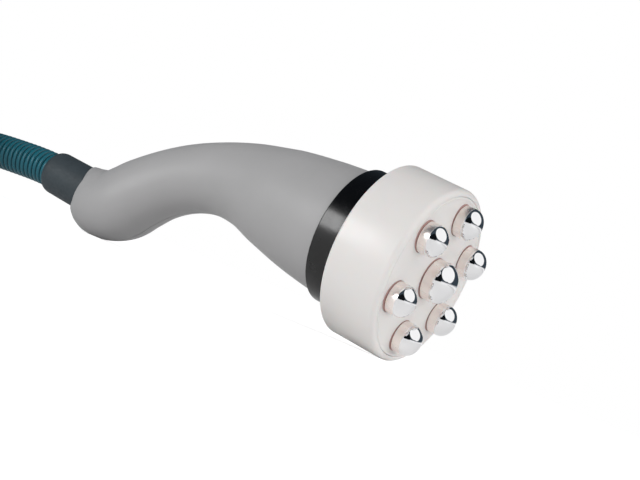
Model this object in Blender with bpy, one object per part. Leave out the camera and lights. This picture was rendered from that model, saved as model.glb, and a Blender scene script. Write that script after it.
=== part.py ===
# Handpiece of a radiofrequency beauty machine, lying on a table with its hose coiled beside it.
# Metres, +Z up, origin on the table under the middle of the handpiece. The handpiece is built
# along its head's axis (+X forward, face at x = 0) under an empty that lays it on the table.
import math

import bmesh
import bpy
import numpy as np
from mathutils import Matrix, Vector

MM = 0.001

# Fits that every piece shares
GAP = 0.3 * MM
OVERRUN = 2.0 * MM
MERGE = 0.01 * MM

# Treatment head: a white moulded cup
HEAD_RADIUS = 40.0 * MM
HEAD_DEPTH = 27.8 * MM
HEAD_WALL = 2.8 * MM
HEAD_BACK = 3.0 * MM
HEAD_LEDGE = 1.5 * MM
HEAD_SEAT = 0.4 * MM
FRONT_EDGE = 2.5 * MM
BACK_EDGE = 1.2 * MM
PORT_RADIUS = 13.0 * MM
HEAD_SIDES = 40

# Face plate with its stud bosses and screw posts
PLATE_THICKNESS = 3.4 * MM
PLATE_CROWN = 0.6 * MM
PLATE_CHAMFER = 0.5 * MM
BOSS_RADIUS = 5.6 * MM
BOSS_END = 9.0 * MM
POST_RADIUS = 3.6 * MM
POST_MARGIN = 2.7 * MM
POST_COUNT = 3

# Electrodes: one in the middle and a ring of smaller ones
ELECTRODE_COUNT = 6
ELECTRODE_MARGIN = 2.7 * MM
OUTER_RADIUS = 7.0 * MM
OUTER_HEIGHT = 4.1 * MM
OUTER_DOME = 5.5 * MM
CENTRE_RADIUS = 9.2 * MM
CENTRE_HEIGHT = 4.6 * MM
CENTRE_DOME = 6.2 * MM
STUD_RADIUS = 1.9 * MM
STUD_END = 16.0 * MM
ELECTRODE_SIDES = 20
STUD_SIDES = 8

# Sealing ring under each electrode, let into the face plate
SEAL_THICKNESS = 0.7 * MM
SEAL_PROUD = 0.1 * MM
SEAL_RIM = 0.15 * MM

# Nut on each stud
NUT_ACROSS_FLATS = 7.0 * MM
NUT_THICKNESS = 3.2 * MM

# Circuit board clamped by the stud nuts, with its wire header
BOARD_MARGIN = 2.3 * MM
BOARD_THICKNESS = 1.6 * MM
HEADER_WIDTH = 10.0 * MM
HEADER_HEIGHT = 7.6 * MM
HEADER_DEPTH = 6.3 * MM
HEADER_OFFSET = 9.0 * MM
HEADER_EDGE = 0.5 * MM

# Gloss black collar between head and handle
COLLAR_RADIUS = 31.7 * MM
COLLAR_LENGTH = 14.8 * MM
COLLAR_WALL = 2.6 * MM
COLLAR_FLANGE = 2.5 * MM
COLLAR_EDGE = 0.6 * MM

# Small screws, for the head and for the handle shells
SCREW_RADIUS = 1.25 * MM
SCREW_HEAD_RADIUS = 2.6 * MM
SCREW_HEAD_HEIGHT = 2.0 * MM
HEAD_SCREW_LENGTH = 14.0 * MM
SHELL_SCREW_REACH = 6.0 * MM
SCREW_SIDES = 10
SLOT_DEPTH = 0.8 * MM
SLOT_WIDTH = 0.7 * MM

# Handle: two half shells around a bent spine
HANDLE_LENGTH = 139.9 * MM
HANDLE_DROP = 40.6 * MM
HANDLE_RADIUS = 29.6 * MM
HANDLE_WALL = 2.4 * MM
SPIGOT_DEPTH = 9.0 * MM
FLANGE_SEAT = 6.3 * MM
RIB_WIDTH = 2.0 * MM
MOUTH_SWEEP = 5.0 * MM
SHELL_STEPS = 10
SPINE_STEPS = 400
BEND_STEPS = 100
SHELL_SECTION_COUNT = 18
SHELL_BOSS_RADIUS = 4.2 * MM
BOSS_FLOOR = 1.0 * MM

# Spine stations from the collar to the tail's end: how far back, how far down, and how thick
SPINE_SHARES = (
    (0.000, 0.000, 1.000),
    (0.130, -0.001, 0.936),
    (0.279, -0.004, 0.818),
    (0.401, 0.011, 0.678),
    (0.508, 0.085, 0.584),
    (0.630, 0.269, 0.544),
    (0.722, 0.499, 0.552),
    (0.782, 0.709, 0.584),
    (0.827, 0.887, 0.598),
    (0.873, 0.980, 0.575),
    (0.919, 1.010, 0.544),
    (0.945, 1.008, 0.515),
    (0.965, 1.002, 0.481),
    (0.984, 0.991, 0.450),
    (1.000, 0.978, 0.419),
)
# Sections of the tail's lip, from the cuff's flange to the mouth
LIP_SHARES = (0.36, 0.70, 0.95)
# Shell screws: share of the spine's length, and share of the handle's radius off the spine
SHELL_SCREW_SHARES = ((0.20, 0.62), (0.20, -0.62), (0.64, 0.50), (0.64, -0.50))

# Rubber cuff that grips the hose in the tail
CUFF_RISE = 0.6 * MM
CUFF_RADIUS = 10.85 * MM
CUFF_TIP_RADIUS = 10.65 * MM
CUFF_LENGTH = 22.0 * MM
CUFF_SHOULDER = 3.0 * MM
CUFF_FLANGE_RADIUS = 12.6 * MM
CUFF_FLANGE_WIDTH = 2.4 * MM
CUFF_INNER_LENGTH = 6.5 * MM
CUFF_BORE_RADIUS = 5.5 * MM
CUFF_SOCKET = 17.0 * MM
CUFF_SIDES = 24

# Cable inside the handle
CABLE_RADIUS = 3.0 * MM
CABLE_STATION_COUNT = 12
CABLE_STEPS = 26

# Corrugated hose
HOSE_RADIUS = 8.7 * MM
HOSE_ROOT_RADIUS = 7.5 * MM
HOSE_BORE_RADIUS = 6.2 * MM
RIB_PITCH = 2.8 * MM
BORE_STEP = 12.0 * MM

# Free stretch of the hose, from the cuff to the coil: a route chosen by hand
HOSE_ROUTE = (
    (-0.09317, 0.0, 0.01993),
    (-0.10182, 0.0, 0.02082),
    (-0.11048, 0.0, 0.02172),
    (-0.1197, 0.0, 0.0221),
    (-0.1305, 0.0, 0.0218),
    (-0.1413, 0.0, 0.0214),
    (-0.1521, 0.0, 0.0207),
    (-0.1629, 0.0002, 0.0192),
    (-0.1736, 0.0017, 0.0170),
    (-0.1839, 0.0048, 0.0144),
    (-0.1937, 0.0094, 0.0118),
    (-0.2027, 0.0154, 0.0099),
    (-0.2120, 0.0208, 0.0089),
    (-0.2220, 0.0248, 0.0088),
    (-0.2326, 0.0272, 0.0088),
    (-0.2433, 0.0280, 0.0088),
    (-0.2520, 0.0280, 0.0088),
    (-0.2607, 0.0280, 0.0088),
)

# Coil of the hose: turns piled on each other. Each climbs a layer and humps over the start,
# and the last one leaves inwards, so that the plug lies on the turns below
COIL_RADIUS = 90.0 * MM
COIL_PITCH = 18.5 * MM
COIL_CLIMBS = 2
COIL_CLIMB_START = 0.60
COIL_CLIMB_TURNS = 0.28
COIL_HUMP = 7.0 * MM
COIL_HUMP_TURN = 0.89
COIL_HUMP_TURNS = 0.085
COIL_POINTS_PER_TURN = 24
COIL_STEPS = 56
GAP_STEPS = 8
GAP_DIAMETERS = 4
EXIT_RADIUS = 72.0 * MM
EXIT_ANGLE = math.radians(60.0)
EXIT_POINTS = 8

# Strap round the coil
TIE_THICKNESS = 1.2 * MM
TIE_WIDTH = 12.0 * MM
TIE_STEP = 6.5
TIE_HUMP = math.radians(30.0)
TIE_CORNER_STEPS = 4

# Plug on the far end, along its own axis from the hose's end
PLUG_SIDES = 24
PLUG_EDGE = 0.8 * MM
PLUG_BORE_RADIUS = 5.5 * MM
FERRULE_RADIUS = 10.8 * MM
FERRULE_LENGTH = 17.0 * MM
FERRULE_SOCKET = 8.0 * MM
BACKSHELL_RADIUS = 13.0 * MM
BACKSHELL_LENGTH = 21.0 * MM
BARREL_RADIUS = 9.2 * MM
BARREL_LENGTH = 21.0 * MM
BARREL_WALL = 1.4 * MM
BARREL_SHOULDER = 3.0 * MM
BARREL_FLANGE = 1.5 * MM
BARREL_FLANGE_RADIUS = 10.4 * MM
BARREL_CUP = 10.0 * MM
COUPLING_RADIUS = 12.6 * MM
COUPLING_LENGTH = 16.0 * MM
COUPLING_LIP = 2.0 * MM
COUPLING_CLEARANCE = 0.5 * MM
COUPLING_GROOVE = 0.5 * MM
COUPLING_GRIPS = 16
INSERT_THICKNESS = 5.0 * MM
PIN_RADIUS = 0.9 * MM
PIN_LENGTH = 11.0 * MM
PIN_TAIL = 2.5 * MM
PIN_CIRCLE = 4.3 * MM
PIN_COUNT = 6

# Finishes: colour, roughness, metallic
FINISHES = {
    "white_plastic": ((0.78, 0.77, 0.75), 0.32, 0.0),
    "grey_plastic": ((0.33, 0.33, 0.33), 0.50, 0.0),
    "black_gloss": ((0.015, 0.015, 0.016), 0.08, 0.0),
    "chrome": ((0.86, 0.86, 0.87), 0.05, 1.0),
    "seal_rubber": ((0.11, 0.035, 0.025), 0.70, 0.0),
    "steel": ((0.52, 0.52, 0.53), 0.30, 1.0),
    "board_green": ((0.02, 0.15, 0.06), 0.40, 0.0),
    "cream_plastic": ((0.65, 0.60, 0.48), 0.50, 0.0),
    "slate_rubber": ((0.045, 0.055, 0.062), 0.60, 0.0),
    "teal_hose": ((0.02, 0.14, 0.16), 0.45, 0.0),
    "cable_sheath": ((0.05, 0.05, 0.05), 0.60, 0.0),
    "black_plastic": ((0.02, 0.02, 0.02), 0.45, 0.0),
    "nickel": ((0.60, 0.58, 0.54), 0.25, 1.0),
    "gold": ((0.80, 0.58, 0.22), 0.25, 1.0),
    "black_webbing": ((0.02, 0.02, 0.02), 0.85, 0.0),
}
MATERIALS = {}

# Places and sizes that follow from the sizes above
PLATE_RADIUS = HEAD_RADIUS - HEAD_WALL - GAP
ELECTRODE_CIRCLE = HEAD_RADIUS - HEAD_WALL - ELECTRODE_MARGIN - OUTER_RADIUS
POST_CIRCLE = COLLAR_RADIUS - COLLAR_WALL - SCREW_HEAD_RADIUS - POST_MARGIN
BOARD_RADIUS = HEAD_RADIUS - HEAD_WALL - HEAD_LEDGE - BOARD_MARGIN
CUFF_DROP = SPINE_SHARES[-1][1] * HANDLE_DROP - CUFF_RISE
PLATE_SEAT = PLATE_THICKNESS + GAP
HEAD_INNER_BACK = HEAD_DEPTH - HEAD_BACK
COLLAR_FRONT = HEAD_DEPTH + GAP
COLLAR_BACK = HEAD_DEPTH + COLLAR_LENGTH
FLANGE_BACK = COLLAR_FRONT + COLLAR_FLANGE
BOARD_FRONT = BOSS_END + GAP
BOARD_BACK = BOARD_FRONT + BOARD_THICKNESS
NUT_FRONT = BOARD_BACK + GAP
HEADER_BACK = NUT_FRONT + HEADER_DEPTH
HANDLE_FRONT = COLLAR_BACK + GAP
TAIL_END = HANDLE_FRONT + HANDLE_LENGTH
SPIGOT_RADIUS = COLLAR_RADIUS - COLLAR_WALL - GAP
TAIL_STRAIGHT = FLANGE_SEAT + CUFF_FLANGE_WIDTH + 2 * GAP + RIB_WIDTH
CUFF_MOUTH = TAIL_END + CUFF_LENGTH
SOCKET_FLOOR = CUFF_MOUTH - CUFF_SOCKET
SCREW_HOLE_RADIUS = SCREW_RADIUS + GAP
COIL_STEP_ANGLE = math.tau / COIL_POINTS_PER_TURN
TIE_ANGLE = math.pi / 2 + TIE_STEP * COIL_STEP_ANGLE


def material(look):
    """The material of a finish, made once."""
    if look not in MATERIALS:
        colour, roughness, metallic = FINISHES[look]
        made = bpy.data.materials.new(look)
        made.use_nodes = True
        shader = made.node_tree.nodes["Principled BSDF"]
        shader.inputs["Base Color"].default_value = (*colour, 1)
        shader.inputs["Roughness"].default_value = roughness
        shader.inputs["Metallic"].default_value = metallic
        made.diffuse_color = (*colour, 1)
        MATERIALS[look] = made
    return MATERIALS[look]


def add_object(name, data, look=None, parent=None, location=(0, 0, 0), turn=(0, 0, 0)):
    """An object in the scene, under its parent, with its finish."""
    piece = bpy.data.objects.new(name, data)
    bpy.context.scene.collection.objects.link(piece)
    piece.parent = parent
    piece.location = location
    piece.rotation_euler = turn
    if look:
        data.materials.clear()
        data.materials.append(material(look))
    return piece


def mesh_of(form, name):
    """A bmesh as a mesh: doubles merged, faces outwards, round parts smooth."""
    bmesh.ops.remove_doubles(form, verts=form.verts, dist=MERGE)
    bmesh.ops.recalc_face_normals(form, faces=form.faces)
    mesh = bpy.data.meshes.new(name)
    form.to_mesh(mesh)
    form.free()
    smooth(mesh)
    return mesh


def smooth(mesh):
    mesh.shade_smooth()
    mesh.set_sharp_from_angle(angle=math.radians(35))


def turned(name, profile, sides):
    """Mesh of revolution about +X from (x, radius) points; a profile off the axis is a ring."""
    form = bmesh.new()
    points = [form.verts.new((x, 0, radius)) for x, radius in profile]
    edges = [form.edges.new(pair) for pair in zip(points, points[1:])]
    if profile[0][1] > 0:
        edges.append(form.edges.new((points[-1], points[0])))
    bmesh.ops.spin(
        form, geom=points + edges, cent=(0, 0, 0), axis=(1, 0, 0),
        angle=math.tau, steps=sides, use_merge=True,
    )
    return mesh_of(form, name)


def rods(name, places, sides):
    """Cylinders in one mesh, each given by its start, its end and its radius."""
    form = bmesh.new()
    for start, end, radius in places:
        run = Vector(end) - Vector(start)
        place = Matrix.Translation((Vector(start) + Vector(end)) / 2)
        turn = run.to_track_quat("Z", "Y").to_matrix().to_4x4()
        bmesh.ops.create_cone(
            form, cap_ends=True, segments=sides, radius1=radius, radius2=radius,
            depth=run.length, matrix=place @ turn,
        )
    return add_object(name, mesh_of(form, name))


def block(name, low, high, edge=0):
    """A box between two corners, with its edges rounded off."""
    form = bmesh.new()
    low, high = Vector(low), Vector(high)
    size = Matrix.Diagonal((*(high - low), 1))
    bmesh.ops.create_cube(form, size=1, matrix=Matrix.Translation((low + high) / 2) @ size)
    if edge:
        bmesh.ops.bevel(form, geom=form.edges[:], offset=edge, segments=1, affect="EDGES")
    return mesh_of(form, name)


def combine(target, operation, *tools):
    """Boolean union, difference or intersection with the tools, applied; the tools are removed."""
    for tool in tools:
        step = target.modifiers.new(operation.title(), "BOOLEAN")
        step.operation = operation
        step.solver = "EXACT"
        step.object = tool
    graph = bpy.context.evaluated_depsgraph_get()
    mesh = bpy.data.meshes.new_from_object(target.evaluated_get(graph))
    mesh.name = target.name
    target.modifiers.clear()
    target.data = mesh
    for tool in tools:
        bpy.data.objects.remove(tool, do_unlink=True)
    form = bmesh.new()
    form.from_mesh(mesh)
    bmesh.ops.remove_doubles(form, verts=form.verts, dist=MERGE)
    form.to_mesh(mesh)
    form.free()
    smooth(mesh)
    return target


def arc(x, radius, bend, start, end, steps):
    """Points of a round corner in a profile, about (x, radius), from start to end in degrees."""
    angles = np.radians(np.linspace(start, end, steps + 1))
    return [(x + bend * math.cos(a), radius + bend * math.sin(a)) for a in angles]


def on_circle(radius, count, index, first=0):
    """(y, z) of one of count even places on a circle, counted from the top."""
    angle = math.tau * index / count + first
    return -radius * math.sin(angle), radius * math.cos(angle)


def smooth_curve(points, count, columns, last=None):
    """Cubic curve through points, read at even steps; the first columns measure its length."""
    points = np.array(points, float)
    chord = np.linalg.norm(np.diff(points[:, :columns], axis=0), axis=1)
    knots = np.concatenate(([0], np.cumsum(chord)))
    slopes = np.gradient(points, knots, axis=0)
    if last is not None:
        slopes[-1] = last
    share = np.linspace(0, 1, 40, endpoint=False)[:, None]
    dense = []
    for i, span in enumerate(np.diff(knots)):
        dense.append(
            (2 * share**3 - 3 * share**2 + 1) * points[i]
            + (share**3 - 2 * share**2 + share) * span * slopes[i]
            + (3 * share**2 - 2 * share**3) * points[i + 1]
            + (share**3 - share**2) * span * slopes[i + 1]
        )
    dense = np.vstack(dense + [points[-1:]])
    steps = np.linalg.norm(np.diff(dense[:, :columns], axis=0), axis=1)
    along = np.concatenate(([0], np.cumsum(steps)))
    even = np.linspace(0, along[-1], count)
    return np.stack([np.interp(even, along, column) for column in dense.T], axis=1), along[-1]


def tube(name, points, radius, resolution, shares=None, caps=True):
    """Curve object: a POLY spline through the points with a round bevel."""
    curve = bpy.data.curves.new(name, "CURVE")
    curve.dimensions = "3D"
    curve.bevel_depth = radius
    curve.bevel_resolution = resolution
    curve.use_fill_caps = caps
    spline = curve.splines.new("POLY")
    spline.points.add(len(points) - 1)
    for index, point in enumerate(points):
        spline.points[index].co = (*point, 1)
        spline.points[index].radius = 1 if shares is None else shares[index]
    return add_object(name, curve)


def meshed(piece):
    """A curve object changed into a mesh object of the same name."""
    name = piece.name
    graph = bpy.context.evaluated_depsgraph_get()
    mesh = bpy.data.meshes.new_from_object(piece.evaluated_get(graph))
    bpy.data.objects.remove(piece, do_unlink=True)
    form = bmesh.new()
    form.from_mesh(mesh)
    return add_object(name, mesh_of(form, name))


def finish(piece, look, parent):
    """The piece under its parent, with its material."""
    piece.parent = parent
    piece.data.materials.clear()
    piece.data.materials.append(material(look))
    return piece


def electrode_places():
    """(y, z, radius, height, dome, face height) of each electrode, the middle one first."""
    places = [(0, 0, CENTRE_RADIUS, CENTRE_HEIGHT, CENTRE_DOME, PLATE_CROWN)]
    for index in range(ELECTRODE_COUNT):
        y, z = on_circle(ELECTRODE_CIRCLE, ELECTRODE_COUNT, index)
        places.append((y, z, OUTER_RADIUS, OUTER_HEIGHT, OUTER_DOME, 0))
    return places


def electrode_names(stem):
    return [f"{stem}_centre"] + [f"{stem}_{index + 1}" for index in range(ELECTRODE_COUNT)]


def post_places():
    """(y, z) of the head screws: half way between ring electrodes."""
    first = math.pi / ELECTRODE_COUNT
    return [on_circle(POST_CIRCLE, POST_COUNT, index, first) for index in range(POST_COUNT)]


def build_housing(parent):
    """White cup: soft edges, a ledge for the plate, a port and the collar's seat in its back."""
    inner = HEAD_RADIUS - HEAD_WALL
    seat = COLLAR_RADIUS + GAP
    back = -HEAD_DEPTH - HEAD_SEAT
    profile = [(-HEAD_DEPTH, PORT_RADIUS), (-HEAD_DEPTH, seat), (back, seat)]
    profile += arc(back + BACK_EDGE, HEAD_RADIUS - BACK_EDGE, BACK_EDGE, 180, 90, 2)
    profile += arc(-FRONT_EDGE, HEAD_RADIUS - FRONT_EDGE, FRONT_EDGE, 90, 0, 4)
    profile += [
        (0, inner),
        (-PLATE_SEAT, inner),
        (-PLATE_SEAT, inner - HEAD_LEDGE),
        (-HEAD_INNER_BACK, inner - HEAD_LEDGE),
        (-HEAD_INNER_BACK, PORT_RADIUS),
    ]
    housing = add_object("head_housing", turned("head_housing", profile, HEAD_SIDES))
    holes = [
        ((-HEAD_DEPTH - OVERRUN, y, z), (OVERRUN - HEAD_INNER_BACK, y, z), SCREW_HOLE_RADIUS)
        for y, z in post_places()
    ]
    combine(housing, "DIFFERENCE", rods("screw_holes", holes, SCREW_SIDES))
    return finish(housing, "white_plastic", parent)


def build_face_plate(parent):
    """Slightly crowned disc with a boss behind each electrode and three screw posts."""
    rim = PLATE_RADIUS
    flat = rim - PLATE_CHAMFER
    crown = [(PLATE_CROWN * (1 - (share * flat / ELECTRODE_CIRCLE) ** 2), share * flat)
             for share in (0, 0.35, 0.7, 1)]
    edge = crown[-1][0] - PLATE_CHAMFER
    profile = crown + [(edge, rim), (-PLATE_THICKNESS, rim), (-PLATE_THICKNESS, 0)]
    plate = add_object("face_plate", turned("face_plate", profile, HEAD_SIDES))
    middle = -PLATE_THICKNESS / 2
    post_end = GAP - HEAD_INNER_BACK
    studs = electrode_places()
    bosses = [((middle, y, z), (-BOSS_END, y, z), BOSS_RADIUS) for y, z, *_ in studs]
    posts = [((middle, y, z), (post_end, y, z), POST_RADIUS) for y, z in post_places()]
    holes = [((-BOSS_END - OVERRUN, y, z), (OVERRUN, y, z), STUD_RADIUS + GAP)
             for y, z, *_ in studs]
    pilots = [((post_end - OVERRUN, y, z), (-BOARD_BACK, y, z), SCREW_HOLE_RADIUS)
              for y, z in post_places()]
    combine(plate, "UNION", rods("bosses", bosses + posts, SCREW_SIDES))
    combine(plate, "DIFFERENCE", rods("stud_holes", holes + pilots, STUD_SIDES))
    floor = SEAL_THICKNESS - SEAL_PROUD + GAP
    seats = [((face - floor, y, z), (face + OVERRUN, y, z), radius + SEAL_RIM + GAP)
             for y, z, radius, _, _, face in studs]
    combine(plate, "DIFFERENCE", rods("seal_seats", seats, ELECTRODE_SIDES))
    return finish(plate, "white_plastic", parent)


def build_electrodes(parent):
    """Domed chrome buttons on studs, each with its sealing ring in front and its nut behind."""
    names = zip(*(electrode_names(stem) for stem in ("electrode", "seal", "stud_nut")))
    for (button, seal, nut), (y, z, radius, height, dome, face) in zip(names, electrode_places()):
        base = face + SEAL_PROUD + GAP
        rise = [(base + height + dome * math.sin(a), radius * math.cos(a))
                for a in np.radians([0, 22, 42, 60, 76])]
        profile = [(-STUD_END, 0), (-STUD_END, STUD_RADIUS), (base, STUD_RADIUS), (base, radius)]
        profile += rise + [(base + height + dome, 0)]
        add_object(button, turned(button, profile, ELECTRODE_SIDES), "chrome", parent, (0, y, z))
        back = face + SEAL_PROUD - SEAL_THICKNESS
        outer = radius + SEAL_RIM
        inner = STUD_RADIUS + GAP
        profile = [(back, inner), (back, outer), (back + SEAL_THICKNESS, outer),
                   (back + SEAL_THICKNESS, inner)]
        add_object(seal, turned(seal, profile, ELECTRODE_SIDES), "seal_rubber", parent, (0, y, z))
        add_object(nut, nut_mesh(nut), "nickel", parent, (-NUT_FRONT, y, z))


def nut_mesh(name):
    """Hexagon nut with its bore, running back from its own origin."""
    corner = NUT_ACROSS_FLATS / math.sqrt(3)
    body = rods(name, [((0, 0, 0), (-NUT_THICKNESS, 0, 0), corner)], 6)
    bore = [((OVERRUN, 0, 0), (-NUT_THICKNESS - OVERRUN, 0, 0), STUD_RADIUS + GAP)]
    combine(body, "DIFFERENCE", rods("bore", bore, 2 * STUD_SIDES))
    mesh = body.data
    bpy.data.objects.remove(body, do_unlink=True)
    return mesh


def build_board(parent):
    """Round circuit board that the stud nuts clamp, with the header that takes the cable."""
    profile = [(-BOARD_BACK, 0), (-BOARD_BACK, BOARD_RADIUS), (-BOARD_FRONT, BOARD_RADIUS),
               (-BOARD_FRONT, 0)]
    board = add_object("electrode_board", turned("electrode_board", profile, HEAD_SIDES))
    front = OVERRUN - BOARD_FRONT
    back = -BOARD_BACK - OVERRUN
    studs = [((front, y, z), (back, y, z), STUD_RADIUS + GAP) for y, z, *_ in electrode_places()]
    posts = [((front, y, z), (back, y, z), POST_RADIUS + GAP) for y, z in post_places()]
    combine(board, "DIFFERENCE", rods("board_holes", studs + posts, 2 * STUD_SIDES))
    finish(board, "board_green", parent)
    low = (-HEADER_BACK, -HEADER_WIDTH / 2, HEADER_OFFSET - HEADER_HEIGHT / 2)
    high = (-NUT_FRONT, HEADER_WIDTH / 2, HEADER_OFFSET + HEADER_HEIGHT / 2)
    header = block("board_header", low, high, HEADER_EDGE)
    add_object("board_header", header, "cream_plastic", parent)


def screw_mesh(name, length):
    """Cross-head screw along X: its head in front of its origin, its shank behind."""
    rim = SCREW_HEAD_RADIUS
    top = SCREW_HEAD_HEIGHT
    profile = [(-length, 0), (-length, SCREW_RADIUS), (0, SCREW_RADIUS), (0, rim),
               (top - SLOT_DEPTH, rim), (top, rim - SLOT_DEPTH), (top, 0)]
    screw = add_object(name, turned(name, profile, SCREW_SIDES))
    reach = rim / 2
    half = SLOT_WIDTH / 2
    low = top - SLOT_DEPTH
    high = top + OVERRUN
    across = block("slot", (low, -reach, -half), (high, reach, half))
    upright = block("slot", (low, -half, -reach), (high, half, reach))
    combine(screw, "DIFFERENCE", add_object("across", across), add_object("upright", upright))
    mesh = screw.data
    bpy.data.objects.remove(screw, do_unlink=True)
    return mesh


def build_collar(parent):
    """Gloss black ring; its front flange is screwed through the cup's back into the posts."""
    rim = COLLAR_RADIUS - COLLAR_EDGE
    bore = COLLAR_RADIUS - COLLAR_WALL
    profile = [
        (-COLLAR_FRONT, PORT_RADIUS),
        (-COLLAR_FRONT, rim),
        (-COLLAR_FRONT - COLLAR_EDGE, COLLAR_RADIUS),
        (COLLAR_EDGE - COLLAR_BACK, COLLAR_RADIUS),
        (-COLLAR_BACK, rim),
        (-COLLAR_BACK, bore),
        (-FLANGE_BACK, bore),
        (-FLANGE_BACK, PORT_RADIUS),
    ]
    collar = add_object("collar_ring", turned("collar_ring", profile, HEAD_SIDES))
    holes = [((-FLANGE_BACK - OVERRUN, y, z), (OVERRUN - COLLAR_FRONT, y, z), SCREW_HOLE_RADIUS)
             for y, z in post_places()]
    combine(collar, "DIFFERENCE", rods("collar_holes", holes, SCREW_SIDES))
    finish(collar, "black_gloss", parent)
    mesh = screw_mesh("head_screw", HEAD_SCREW_LENGTH)
    for index, (y, z) in enumerate(post_places()):
        place = (-FLANGE_BACK - GAP, y, z)
        add_object(f"head_screw_{index + 1}", mesh, "steel", parent, place, (0, 0, math.pi))


def spine():
    """(x, z, radius) along the handle's bent axis, closely spaced from the collar to the end."""
    stations = [(-HANDLE_FRONT - back * HANDLE_LENGTH, -drop * HANDLE_DROP, thick * HANDLE_RADIUS)
                for back, drop, thick in SPINE_SHARES]
    points, _ = smooth_curve(stations, SPINE_STEPS, 2)
    return points


def bend(count):
    """(x, z, radius, way x, way z) in front of the tail, closer together where the spine bends."""
    points = spine()
    points = points[points[:, 0] > TAIL_STRAIGHT - TAIL_END]
    ways = np.gradient(points[:, :2], axis=0)
    ways /= np.linalg.norm(ways, axis=1)[:, None]
    ways[0] = (-1, 0)
    turns = np.linalg.norm(np.diff(ways, axis=0), axis=1)
    steps = np.linalg.norm(np.diff(points[:, :2], axis=0), axis=1) + HANDLE_RADIUS * turns
    along = np.concatenate(([0], np.cumsum(steps)))
    even = np.linspace(0, along[-1], count)
    return [np.interp(even, along, column) for column in np.hstack((points, ways)).T]


def handle_sections():
    """Sections of the handle: x, way (x, z), outer z and radius, inner z and radius, sweep."""
    inner_spigot = SPIGOT_RADIUS - HANDLE_WALL
    front = -HANDLE_FRONT
    made = [
        (front + SPIGOT_DEPTH, -1, 0, 0, SPIGOT_RADIUS - GAP, 0, inner_spigot, 0),
        (front + SPIGOT_DEPTH - 2 * GAP, -1, 0, 0, SPIGOT_RADIUS, 0, inner_spigot, 0),
        (front + GAP, -1, 0, 0, SPIGOT_RADIUS, 0, inner_spigot, 0),
    ]
    for x, z, radius, way_x, way_z in zip(*bend(SHELL_SECTION_COUNT)):
        made.append((x, way_x, way_z, z, radius, z, radius - HANDLE_WALL, 0))
    snug = CUFF_RADIUS + GAP
    groove = CUFF_FLANGE_RADIUS + GAP
    groove_front = TAIL_STRAIGHT - RIB_WIDTH
    step = GAP / 2
    stops = [
        (TAIL_STRAIGHT - GAP, snug, 0),
        (groove_front + step, snug, 0),
        (groove_front - step, groove, 0),
        (FLANGE_SEAT + step, groove, 0),
        (FLANGE_SEAT - step, snug, 0),
    ]
    stops += [((1 - share) * FLANGE_SEAT, snug, share * MOUTH_SWEEP) for share in LIP_SHARES]
    spine_x, spine_z, spine_radius = spine().T
    for back, inner, sweep in stops:
        x = back - TAIL_END
        z = np.interp(-x, -spine_x, spine_z)
        outer = np.interp(-x, -spine_x, spine_radius)
        made.append((x, -1, 0, z, outer, -CUFF_DROP, inner, sweep))
    made.append((-TAIL_END, -1, 0, spine_z[-1], spine_radius[-1] - GAP, -CUFF_DROP, snug,
                 MOUTH_SWEEP))
    return made


def half_tube(name, side, shrink=0):
    """The handle's half on the side +1 or -1 of the seam plane; shrunk, it is solid instead."""
    form = bmesh.new()
    angles = np.linspace(0, math.pi, SHELL_STEPS + 1)
    rings = []
    for x, way_x, way_z, outer_z, outer, inner_z, inner, sweep in handle_sections():
        arcs = [(outer - shrink, outer_z, angles), (inner, inner_z, angles[::-1])]
        ring = [
            form.verts.new((
                x + way_z * radius * math.cos(a) + sweep * math.sin(a) ** 2,
                side * (GAP / 2 + radius * math.sin(a)),
                z - way_x * radius * math.cos(a),
            ))
            for radius, z, turns in (arcs[:1] if shrink else arcs) for a in turns
        ]
        rings.append(ring)
    size = len(rings[0])
    for near, far in zip(rings, rings[1:]):
        for i in range(size):
            form.faces.new((near[i - 1], near[i], far[i], far[i - 1]))
    for ring in (rings[0], rings[-1]):
        if shrink:
            form.faces.new(ring)
            continue
        for i in range(SHELL_STEPS):
            form.faces.new((ring[i], ring[i + 1], ring[size - 2 - i], ring[size - 1 - i]))
    return add_object(name, mesh_of(form, name))


def shell_screw_places():
    """(x, z, y of the wall's inner side) of each screw that joins the two shells."""
    columns = bend(BEND_STEPS + 1)
    places = []
    for along, off in SHELL_SCREW_SHARES:
        x, z, radius, way_x, way_z = (column[round(along * BEND_STEPS)] for column in columns)
        offset = off * radius
        inner = math.sqrt((radius - HANDLE_WALL) ** 2 - offset**2)
        places.append((x + way_z * offset, z - way_x * offset, inner))
    return places


def build_shells(parent):
    """Left and right grey shells, with screw bosses that meet at the seam."""
    places = shell_screw_places()
    for name, side in (("handle_shell_left", 1), ("handle_shell_right", -1)):
        shell = half_tube(name, side)
        core = half_tube("core", side, HANDLE_WALL / 2)
        inner_face = side * GAP / 2
        bosses = [((x, inner_face, z), (x, side * HANDLE_RADIUS, z), SHELL_BOSS_RADIUS)
                  for x, z, _ in places]
        bosses = combine(rods("bosses", bosses, SCREW_SIDES), "INTERSECT", core)
        combine(shell, "UNION", bosses)
        reach = HANDLE_RADIUS + OVERRUN if side > 0 else SHELL_SCREW_REACH + OVERRUN
        holes = [((x, -side * OVERRUN, z), (x, side * reach, z), SCREW_HOLE_RADIUS)
                 for x, z, _ in places]
        combine(shell, "DIFFERENCE", rods("screw_holes", holes, SCREW_SIDES))
        if side > 0:
            pockets = [((x, wall - BOSS_FLOOR, z), (x, reach, z), SCREW_HEAD_RADIUS + GAP)
                       for x, z, wall in places]
            combine(shell, "DIFFERENCE", rods("pockets", pockets, SCREW_SIDES))
        finish(shell, "grey_plastic", parent)
    for index, (x, z, wall) in enumerate(places):
        seat = wall - BOSS_FLOOR + GAP
        name = f"shell_screw_{index + 1}"
        mesh = screw_mesh(name, seat + SHELL_SCREW_REACH)
        add_object(name, mesh, "steel", parent, (x, seat, z), (0, 0, math.pi / 2))


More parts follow.
